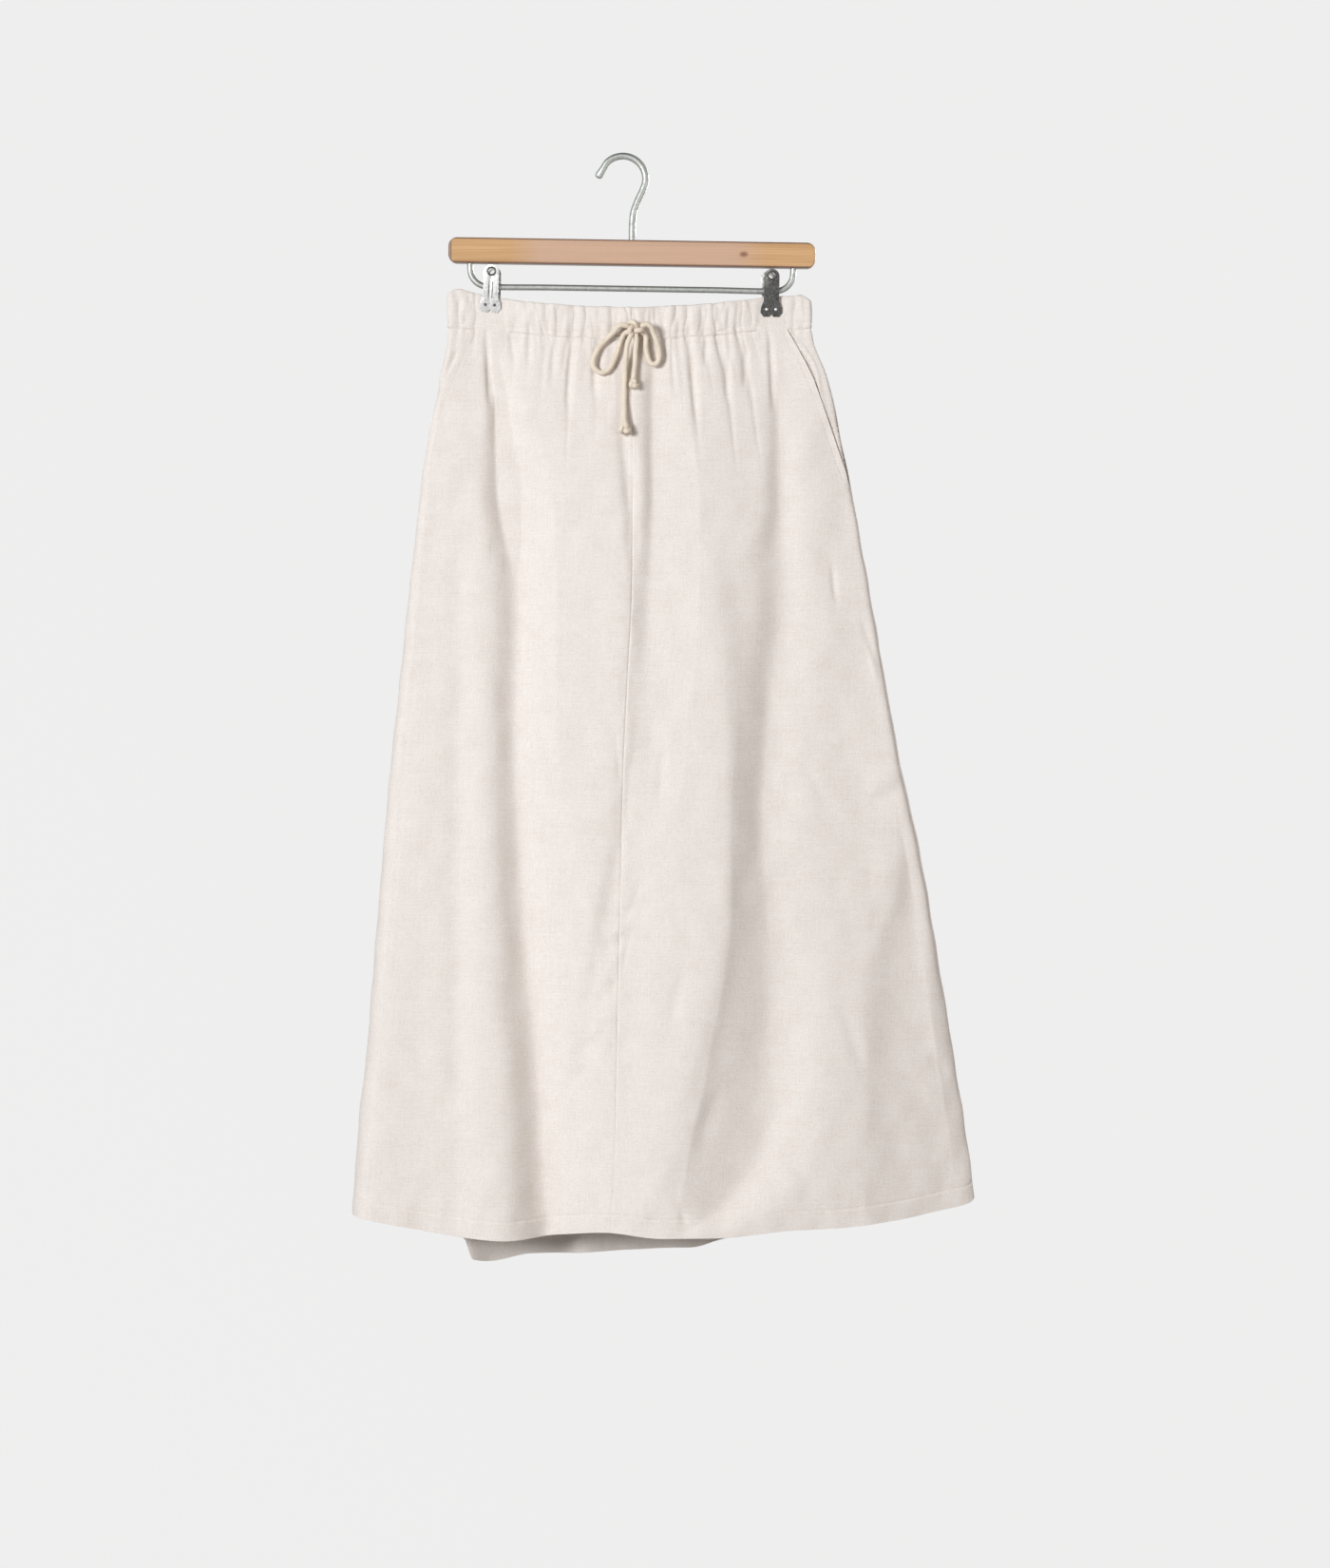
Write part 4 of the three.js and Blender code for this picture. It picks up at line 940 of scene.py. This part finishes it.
for side in ("left", "right"):
    name = "pocket_side_" + side
    mesh = pocket_mesh(name, side)
    if side == "right":
        mesh.flip_normals()
    piece = add_piece("side_piece_" + side, mesh, linen, "pocket_cloth", name)
    add_wall(piece, cloth_wall)

# The waistband is a casing of the same cloth folded over a wide elastic, which puckers it. It is
# sewn to the gathered skirt along its lower edge, and stitched once more a little above that.
band_columns_count = 420
band_rows_count = 56
casing_wall = 0.6


def stitched_at(x):
    """The share of the band's height at which it is stitched through."""
    return 0.15 + 0.045 * np.sin(x / 8.3) + 0.02 * np.sin(x / 3.1)


def height_on_band(face, share, up_at):
    """The heights on the band at these shares, where up_at(x) is the share of the way up."""
    z = np.full_like(share, -150.0)
    for _ in range(5):
        x = on_section(face, share, z)[0][:, 0]
        top = band_at(x, "top")
        bottom = band_at(x, "bottom") - 0.6
        z = bottom + (top - bottom) * up_at(x)
    return z


def band_mesh(name, face):
    """The folded cloth: up the outer side, over the top and down the inner side."""

    def shape(across, along):
        share = across * 2 - 1 if face["side"] > 0 else 1 - across * 2
        outer = along < 0.5
        up = 0.5 - 0.5 * np.cos(math.pi * np.where(outer, along, 1 - along) * 2)
        z = height_on_band(face, share, lambda x: up)
        here, normal, reach = on_cloth(face, share, z)
        x = here[:, 0]
        pinch = near_clips(x, z, *jaw_grip)
        pucker = np.zeros_like(x)
        for pucker_x, width, depth, length, lean in face["puckers"]:
            wander = lean * (up - 0.2) * 0.6 + 1.1 * np.sin(6 * up + pucker_x)
            reaches_up = 0.35 + 0.65 * ease((0.35 + length / 24 - up) / 0.3)
            pucker -= dip(x - pucker_x - wander, depth * reaches_up, width * 1.15)
        stitched = stitched_at(x)
        puff = 1.3 * np.sin(math.pi * np.clip((up - stitched) / (1 - stitched), 0, 1)) ** 0.6
        puff += 0.55 * np.sin(math.pi * np.clip(up / stitched, 0, 1)) ** 0.7
        free = 1 - 0.93 * pinch
        body = 0.35 + (puff + dip(up - stitched, 0.5, 0.024) - 0.95 * pucker) * free
        body += rumple(face, 3 * x, 3 * z) * free
        joined = 1 + dip(from_side_fold(share, reach), 0.75, 1.6)
        inner = -2.0 - (0.4 * puff + 0.5 * pucker) * free
        middle = -0.75
        at_top = np.sqrt(np.clip(1 - np.clip((up - 0.955) / 0.045, 0, 1) ** 2, 0, 1))
        at_bottom = 0.25 + 0.75 * ease(up / 0.05)
        lift = middle + (np.where(outer, body, inner) - middle) * at_top * np.where(outer, at_bottom, 1) * joined
        points = here + normal * lift[:, None]
        points[:, 2] += (-0.55 * pucker + 0.35 * np.sin(x / 5.3 + 2 * np.sin(x / 13))) * ease((up - 0.6) / 0.4) * free
        return points, np.stack([reach, z + np.where(outer, 0, 60)], axis=1)

    return shaped_grid(name, band_columns_count, band_rows_count, shape)


casing_pieces = {}
for name, face in (("waistband_front", front), ("waistband_back", back)):
    piece = add_piece("casing_" + name.split("_")[1], band_mesh(name, face), linen, "band_cloth", name)
    add_wall(piece, casing_wall)
    casing_pieces[name.split("_")[1]] = piece

# The hanger's bar is one piece of pale wood with rounded ends and eased edges, satin lacquered. It
# is pinker in the middle, has painted shade along its eased edges, and has one small round knot.
bar_length, bar_height, bar_thickness = 359, 25, 12
bar_middle = Vector((9.1, 0, -91.5))
bar_corner = 8.5
bar_edge = 1.8
# Painted shade: how wide the dark band along the bar's edges is, and how far it fades in
shade_edge_width, shade_edge_fade = 0.9, 2.4
tilt = Matrix.Rotation(hanger_tilt, 4, "Y")

wood, tree, shader = start_material("lacquered wood", Coat_Weight=0.35, Coat_Roughness=0.3)
wood_place = add_node(tree, "ShaderNodeTexCoord").outputs["Object"]
grain = streaks(tree, wood_place, 9, 900, detail=4.0)
bands = streaks(tree, wood_place, 3.5, 120, detail=3.0)
pores = streaks(tree, wood_place, 60, 3800, detail=2.0)
figure = spread(tree, combined(tree, "ADD", grain, bands), 0.75, 1.25, 0, 1)
pale = shade_between(tree, figure, (0.465, 0.25, 0.09, 1), (0.655, 0.39, 0.18, 1))
wood_split = add_node(tree, "ShaderNodeSeparateXYZ", {"Vector": wood_place}).outputs
across_bar, up_bar = wood_split["X"], wood_split["Z"]
pink_from_left = spread(tree, across_bar, -0.112, -0.080, 0.0, 0.65)
pink_to_right = spread(tree, across_bar, 0.108, 0.142, 1.0, 0.0)
pink_share = combined(tree, "MULTIPLY", pink_from_left, pink_to_right)
pink = shade_between(tree, pink_share, pale, (0.55, 0.365, 0.285, 1))
knot_across, knot_up = 117.0, -93.5
knot_half_length, knot_half_height = 5.4, 3.6
knot_map = {
    "Location": (-knot_across / knot_half_length, 0, -knot_up / knot_half_height),
    "Scale": (1000 / knot_half_length, 0, 1000 / knot_half_height),
}
knot_place = add_node(tree, "ShaderNodeMapping", {"Vector": wood_place, **knot_map}).outputs["Vector"]
from_knot = add_node(tree, "ShaderNodeVectorMath", {0: knot_place}, operation="LENGTH").outputs["Value"]
in_knot = spread(tree, from_knot, 0.4, 1.0, 0.85, 0)
knotted_wood = shade_between(tree, in_knot, pink, (0.20, 0.07, 0.03, 1))
lean_of_bar = combined(tree, "MULTIPLY", across_bar, math.tan(hanger_tilt))
# Painted shade: the colour darkens near the bar's top, bottom and ends, where its eased edges turn from the light
painted_edge_shades = []
for place, middle, size in (
    (combined(tree, "ADD", up_bar, lean_of_bar), bar_middle.z, bar_height), (across_bar, bar_middle.x, bar_length),
):
    off_middle = combined(tree, "ABSOLUTE", combined(tree, "ADD", place, -middle * mm))
    starts, ends = (size / 2 - shade_edge_fade) * mm, (size / 2 - shade_edge_width) * mm
    painted_edge_shades.append(spread(tree, off_middle, starts, ends, 0, 0.92))
painted_edge_shade = combined(tree, "MAXIMUM", *painted_edge_shades)
wood_colour = shade_between(tree, painted_edge_shade, knotted_wood, (0.16, 0.075, 0.045, 1))
finish_material(tree, shader, wood_colour, (0.25, 0.0003, pores), spread(tree, pores, 0.3, 0.7, 0.5, 0.34))

bar = bmesh.new()
bmesh.ops.create_cube(bar, size=1)
bmesh.ops.scale(bar, verts=bar.verts, vec=(bar_length * mm, bar_thickness * mm, bar_height * mm))
# the four corners that run through the bar from front to back, and then its front and back rims
for through, offset, segments in ((True, bar_corner, 10), (False, bar_edge, 4)):
    edges = [edge for edge in bar.edges if (abs(edge.verts[0].co.y - edge.verts[1].co.y) > 0.5 * mm) == through]
    bmesh.ops.bevel(
        bar, geom=edges, offset=offset * mm, affect="EDGES", segments=segments, profile=0.5, material=-1
    )
bmesh.ops.translate(bar, verts=bar.verts, vec=bar_middle * mm)
bmesh.ops.transform(bar, verts=bar.verts, matrix=tilt)
bmesh.ops.recalc_face_normals(bar, faces=bar.faces)
bar_piece = add_piece("wood_bar", take_mesh(bar, "hanger_bar"), wood, "hanger_wood", "hanger_bar")
bar_piece.modifiers.new("flat faces", "WEIGHTED_NORMAL").keep_sharp = True

# The hook is one bent steel wire, pushed into the bar. The rod below is thinner wire, with both
# ends bent up into the bar.
def worn_metal(name, dark, light, rough, smooth, scuffs=420, contrast=0.18, bump=0.3):
    """Metal in two tones with scuffs, which are so many to a metre."""
    material, tree, shader = start_material(name, Metallic=1.0)
    place = add_node(tree, "ShaderNodeTexCoord").outputs["Object"]
    wear = streaks(tree, place, scuffs, scuffs, detail=5.0, roughness=0.7)
    colour = shade_between(tree, spread(tree, wear, 0.5 - contrast, 0.5 + contrast, 0, 1), dark, light)
    finish_material(tree, shader, colour, (bump, 0.0003, wear), spread(tree, wear, 0.3, 0.7, rough, smooth))
    return material


steel = worn_metal("satin steel", (0.27, 0.28, 0.265, 1), (0.44, 0.45, 0.43, 1), 0.58, 0.42, 260, 0.2, 0)

wire_radius = 3.4
hook_radius = 22.3
rod_radius = 3.0
rod_half_span = 158.0
rod_z = -126.3
rod_bend = 17.0
hook_middle = (-1.0, wire_radius - hook_radius)
hook_points = [(-25.8, 0, -18.8), (-23.0, 0, -13.6), (-19.6, 0, -8.0)]
for turn in range(132, -29, -20):
    angle = math.radians(turn)
    x, z = (middle + hook_radius * way for middle, way in zip(hook_middle, (math.cos(angle), math.sin(angle))))
    hook_points.append((x, 0, z))
hook_points += [(13.6, 0, -41), (10.2, 0, -51), (9.1, 0, -61), (9.1, 0, -79), (9.1, 0, -94)]
rod_left = bar_middle.x - rod_half_span
rod_points = [(rod_left, 0, -95), (rod_left, 0, rod_z + rod_bend)]
for turn in (22, 45, 68):
    angle = math.radians(turn)
    rod_points.append((rod_left + rod_bend * (1 - math.cos(angle)), 0, rod_z + rod_bend * (1 - math.sin(angle))))
rod_points.append((rod_left + rod_bend, 0, rod_z))
other_end = [(2 * bar_middle.x - x, y, z) for x, y, z in reversed(rod_points)]
rod_points += [(x, 0, rod_z) for x in (-70, 9.1, 88)] + other_end


def flat_tip(turn, run):
    """The hook's tip is beaten a little flat."""
    return 0.17 * (1 - ease((run - 3) / 9)) * np.cos(2 * turn)


for name, points, radius, relief in (
    ("hanger_hook", hook_points, wire_radius, flat_tip), ("hanger_rod", rod_points, rod_radius, None),
):
    route = smooth_route(points, 0.8)
    mesh = add_tube(name, route, radius, relief, 24)
    mesh.transform(tilt)
    add_piece(name.replace("hanger", "wire"), mesh, steel, "hanger_steel", name)


# The clips are pressed steel plates in pairs, hung on the rod by their ears and closed by a coil
# spring. The left clip is bright zinc and the right one is a darker plate.
zinc = worn_metal("bright zinc plate", (0.36, 0.36, 0.35, 1), (0.76, 0.76, 0.75, 1), 0.58, 0.36)
dull_zinc = worn_metal("dull zinc plate", (0.22, 0.22, 0.21, 1), (0.46, 0.46, 0.44, 1), 0.6, 0.42)
dark_plate = worn_metal("dark steel plate", (0.035, 0.034, 0.033, 1), (0.15, 0.148, 0.145, 1), 0.5, 0.32)
clip_parts = {
    # part: metal of the left clip and its slot, and of the right clip and its slot
    "front_plate": (zinc, "clip_zinc", dark_plate, "clip_dark_steel"),
    "back_plate": (dull_zinc, "clip_zinc", dull_zinc, "clip_zinc"),
    "spring": (dull_zinc, "clip_zinc", dark_plate, "clip_dark_steel"),
}
# How each plate sits on the rod: slid to the right by so much, and leaning by so many degrees
plate_sits = {
    "left_front_plate": (0, 2.0), "left_back_plate": (1.7, 0), "right_front_plate": (0, 0),
    "right_back_plate": (-2.0, -5.0),
}
clip_pieces = {}
for side in ("left", "right"):
    for part, metals in clip_parts.items():
        metal, slot = metals[:2] if side == "left" else metals[2:]
        name = f"clip_{side}_{part}"
        plate = bmesh.new()
        plate.from_mesh(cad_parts[name].data)
        bmesh.ops.remove_doubles(plate, verts=plate.verts, dist=merge_distance)
        bmesh.ops.dissolve_limit(plate, angle_limit=math.radians(2), verts=plate.verts, edges=plate.edges)
        slid, leaning = plate_sits.get(f"{side}_{part}", (0, 0))
        on_rod = tilt @ Vector((clip_places[side], 0, rod_z))
        lean = Matrix.Rotation(math.radians(leaning), 4, "Y") @ Matrix.Translation(-on_rod * mm)
        lean = Matrix.Translation((on_rod + Vector((slid, 0, 0))) * mm) @ lean
        bmesh.ops.transform(plate, verts=plate.verts, matrix=lean)
        piece = add_piece(f"pressed_{side}_{part}", take_mesh(plate, name), metal, slot, name)
        eased = piece.modifiers.new("eased edges", "BEVEL")
        eased.width = 0.25 * mm
        eased.segments = 2
        eased.limit_method = "ANGLE"
        eased.harden_normals = True
        clip_pieces[side, part] = piece


def surface_finder(mesh):
    """Finds the nearest place on a mesh, in metres, with the way that it faces."""
    return BVHTree.FromPolygons([v.co for v in mesh.vertices], [p.vertices for p in mesh.polygons]).find_nearest


def spin_round(shape, profile, steps):
    """Turns a profile once round the Z axis."""
    bmesh.ops.spin(
        shape, geom=profile, cent=(0, 0, 0), axis=(0, 0, 1), dvec=(0, 0, 0), angle=2 * math.pi, steps=steps,
        use_merge=True, use_duplicate=False,
    )


def add_bead(shape, place, half_sizes, round_steps, along_steps):
    """A small ellipsoid with these half sizes in millimetres, put where a matrix says."""
    size = Matrix.Diagonal((*(half * mm for half in half_sizes), 1))
    bmesh.ops.create_uvsphere(
        shape, u_segments=round_steps, v_segments=along_steps, radius=1, matrix=place @ size
    )


# On each front plate: a rolled eyelet round its hole, two ribs pressed down its middle and, low in
# the jaw, two dimples.
eyelet_middle_z = rod_z + 14.0
rib_places = (-1.9, 1.5)
rib_top_z, rib_bottom_z = rod_z + 5.5, rod_z - 13.0
dimple_places = (-4.6, 4.4)
dimple_z = rod_z - 18.5
for side in ("left", "right"):
    plate_mesh = clip_pieces[side, "front_plate"].data
    find = surface_finder(plate_mesh)
    lean = math.radians(plate_sits[side + "_front_plate"][1])
    on_rod = tilt @ Vector((clip_places[side], 0, rod_z))

    def on_plate(across, z):
        """A place on the front of the plate, this far right of its middle."""
        place = on_rod + Matrix.Rotation(lean + hanger_tilt, 3, "Y") @ Vector((across, 0, z - rod_z))
        found = find(Vector((place.x, -14, place.z)) * mm)[0]
        return Vector((place.x * mm, found.y, place.z * mm))

    details = bmesh.new()
    middle = on_plate(0, eyelet_middle_z)
    seat = on_plate(4.2, eyelet_middle_z).y
    ring = bmesh.ops.create_circle(details, cap_ends=False, segments=10, radius=0.85 * mm)["verts"]
    bmesh.ops.rotate(details, verts=ring, cent=(0, 0, 0), matrix=Matrix.Rotation(math.pi / 2, 3, "X"))
    bmesh.ops.translate(details, verts=ring, vec=(3.8 * mm, 0, 0))
    rim = list({edge for vert in ring for edge in vert.link_edges})
    spin_round(details, list(ring) + rim, 28)
    stand = Matrix.Translation((middle.x, seat - 0.1 * mm, middle.z)) @ Matrix.Rotation(math.pi / 2, 4, "X")
    bmesh.ops.transform(details, verts=details.verts, matrix=stand)
    for across in rib_places:
        top, bottom = on_plate(across, rib_top_z), on_plate(across, rib_bottom_z)
        turned = (top - bottom).to_track_quat("Z", "Y").to_matrix().to_4x4()
        half_length = (top - bottom).length / 2 / mm
        add_bead(details, Matrix.Translation((top + bottom) / 2) @ turned, (0.5, 0.45, half_length), 12, 14)
    bmesh.ops.remove_doubles(details, verts=details.verts, dist=merge_distance)
    bmesh.ops.recalc_face_normals(details, faces=details.faces)
    mesh = take_mesh(details, f"{side}_plate_details")
    add_piece(f"eyelet_and_ribs_{side}", mesh, dark_plate, "clip_dark_steel")
    dimples = bmesh.new()
    for across in dimple_places:
        add_bead(dimples, Matrix.Translation(on_plate(across, dimple_z)), (1.5, 0.7, 1.5), 16, 10)
    metal, slot = (dark_plate, "clip_dark_steel") if side == "left" else (zinc, "clip_zinc")
    add_piece(f"dimples_{side}", take_mesh(dimples, f"{side}_dimples"), metal, slot)

# The sewing is in cotton thread of the cloth's colour, in stitches a little over 3 mm apart: along
# the turned-up hems, beside the pocket edges, and through the casing above its lower edge.
stitch_pitch = 3.3
stitch_half = (1.3, 0.24, 0.22)
stitch_lift = 0.06
pocket_stitch_inset = 6.2
thread = start_material("sewing thread", Roughness=0.85, Base_Color=(0.80, 0.74, 0.69, 1))[0]


def sew(name, line, cloth):
    """Stitches along a line near a cloth, laid down on its outer face."""
    find = surface_finder(cloth.data)
    run = run_along(line)
    count = int(run[-1] / stitch_pitch)
    middles = (np.arange(count) + 0.5) * run[-1] / count
    sewing = bmesh.new()
    for middle in middles:
        ends = []
        for place in (middle - stitch_half[0], middle + stitch_half[0]):
            point = Vector([np.interp(place, run, way) for way in line.T]) * mm
            found, facing, _, _ = find(point)
            ends.append(found)
        along = (ends[1] - ends[0]).normalized()
        side_way = facing.cross(along).normalized()
        turned = Matrix((along, side_way, along.cross(side_way))).transposed().to_4x4()
        place = Matrix.Translation((ends[0] + ends[1]) / 2 + facing * stitch_lift * mm)
        add_bead(sewing, place @ turned, stitch_half, 6, 4)
    bmesh.ops.recalc_face_normals(sewing, faces=sewing.faces)
    add_piece(name, take_mesh(sewing, name), thread, None)


def line_beside(face, shares, heights):
    """Places just outside the cloth at these shares and heights."""
    here, normal, _ = on_cloth(face, shares, heights)
    return here + normal * 2


for name, face, from_share, to_share, side, _ in panels:
    shares = np.linspace(from_share, to_share, 240)
    down = np.full_like(shares, 1 - hem_depth / panel_length)
    line = line_beside(face, shares, down_panel(face, shares, down))
    sew("hem_sewing_" + name.replace("skirt_", ""), line, panel_pieces[name])
    if side:
        down = np.linspace(0.004, 0.17, 120)
        edge = pocket_share(side, down, pocket_stitch_inset)
        line = line_beside(face, edge, down_panel(face, edge, down))
        sew("pocket_sewing_" + side, line, panel_pieces[name])
for face, casing in ((front, "front"), (back, "back")):
    shares = np.linspace(-0.985, 0.985, 500)
    heights = height_on_band(face, shares, stitched_at)
    sew("casing_sewing_" + casing, line_beside(face, shares, heights), casing_pieces[casing])

# Soft daylight from a window at the upper left in front and from another behind on the right, a
# weak fill from the right, and a pale round cove far behind, whose floor lies far below the skirt.
bpy.context.scene.view_settings.view_transform = "Standard"
world = bpy.data.worlds.new("pale room")
world.use_nodes = True
world.node_tree.nodes["Background"].inputs["Color"].default_value = (1.0, 0.90, 0.80, 1)
world.node_tree.nodes["Background"].inputs["Strength"].default_value = 0.2
bpy.context.scene.world = world


skirt_middle = Vector((0.04, 0, -0.6))


def add_light(name, place, size, power, colour):
    lamp = bpy.data.lights.new(name, "AREA")
    lamp.shape = "DISK"
    lamp.size = size
    lamp.energy = power
    lamp.color = colour
    light = bpy.data.objects.new(name, lamp)
    light.location = place
    light.rotation_euler = (skirt_middle - Vector(place)).to_track_quat("-Z", "Y").to_euler()
    bpy.context.scene.collection.objects.link(light)


add_light("window", (-3.15, -4.5, 0.45), 1.9, 280, (0.97, 0.985, 1.0))
add_light("rear window", (3.4, 4.6, 0.7), 2.0, 250, (0.98, 0.985, 1.0))
add_light("right fill", (4.2, -3.6, -0.8), 2.0, 60, (1.0, 0.96, 0.93))

floor_z = -6.0
wall_height = 16
flat_radius = 3.5
cove_radius = 5.0
cove = bmesh.new()
profile = [cove.verts.new((0, 0, floor_z)), cove.verts.new((flat_radius, 0, floor_z))]
for turn in range(6, 91, 6):
    angle = math.radians(turn)
    bend = (flat_radius + cove_radius * math.sin(angle), 0, floor_z + cove_radius * (1 - math.cos(angle)))
    profile.append(cove.verts.new(bend))
profile.append(cove.verts.new((flat_radius + cove_radius, 0, floor_z + wall_height)))
edges = [cove.edges.new(pair) for pair in zip(profile, profile[1:])]
spin_round(cove, profile + edges, 96)
bmesh.ops.remove_doubles(cove, verts=cove.verts, dist=1e-5)
bmesh.ops.recalc_face_normals(cove, faces=cove.faces)
bmesh.ops.reverse_faces(cove, faces=cove.faces)
cove_mesh = take_mesh(cove, "cove")
cove_mesh.polygons.foreach_set("use_smooth", [True] * len(cove_mesh.polygons))
paper = {
    "Roughness": 1.0, "Base_Color": (0.05, 0.05, 0.05, 1), "Specular_IOR_Level": 0.0,
    "Emission_Color": (0.838, 0.838, 0.838, 1), "Emission_Strength": 1.0,
}
cove_mesh.materials.append(start_material("pale paper", **paper)[0])
backdrop = bpy.data.objects.new("cove", cove_mesh)
bpy.context.scene.collection.objects.link(backdrop)
backdrop.visible_diffuse = False
backdrop.visible_shadow = False
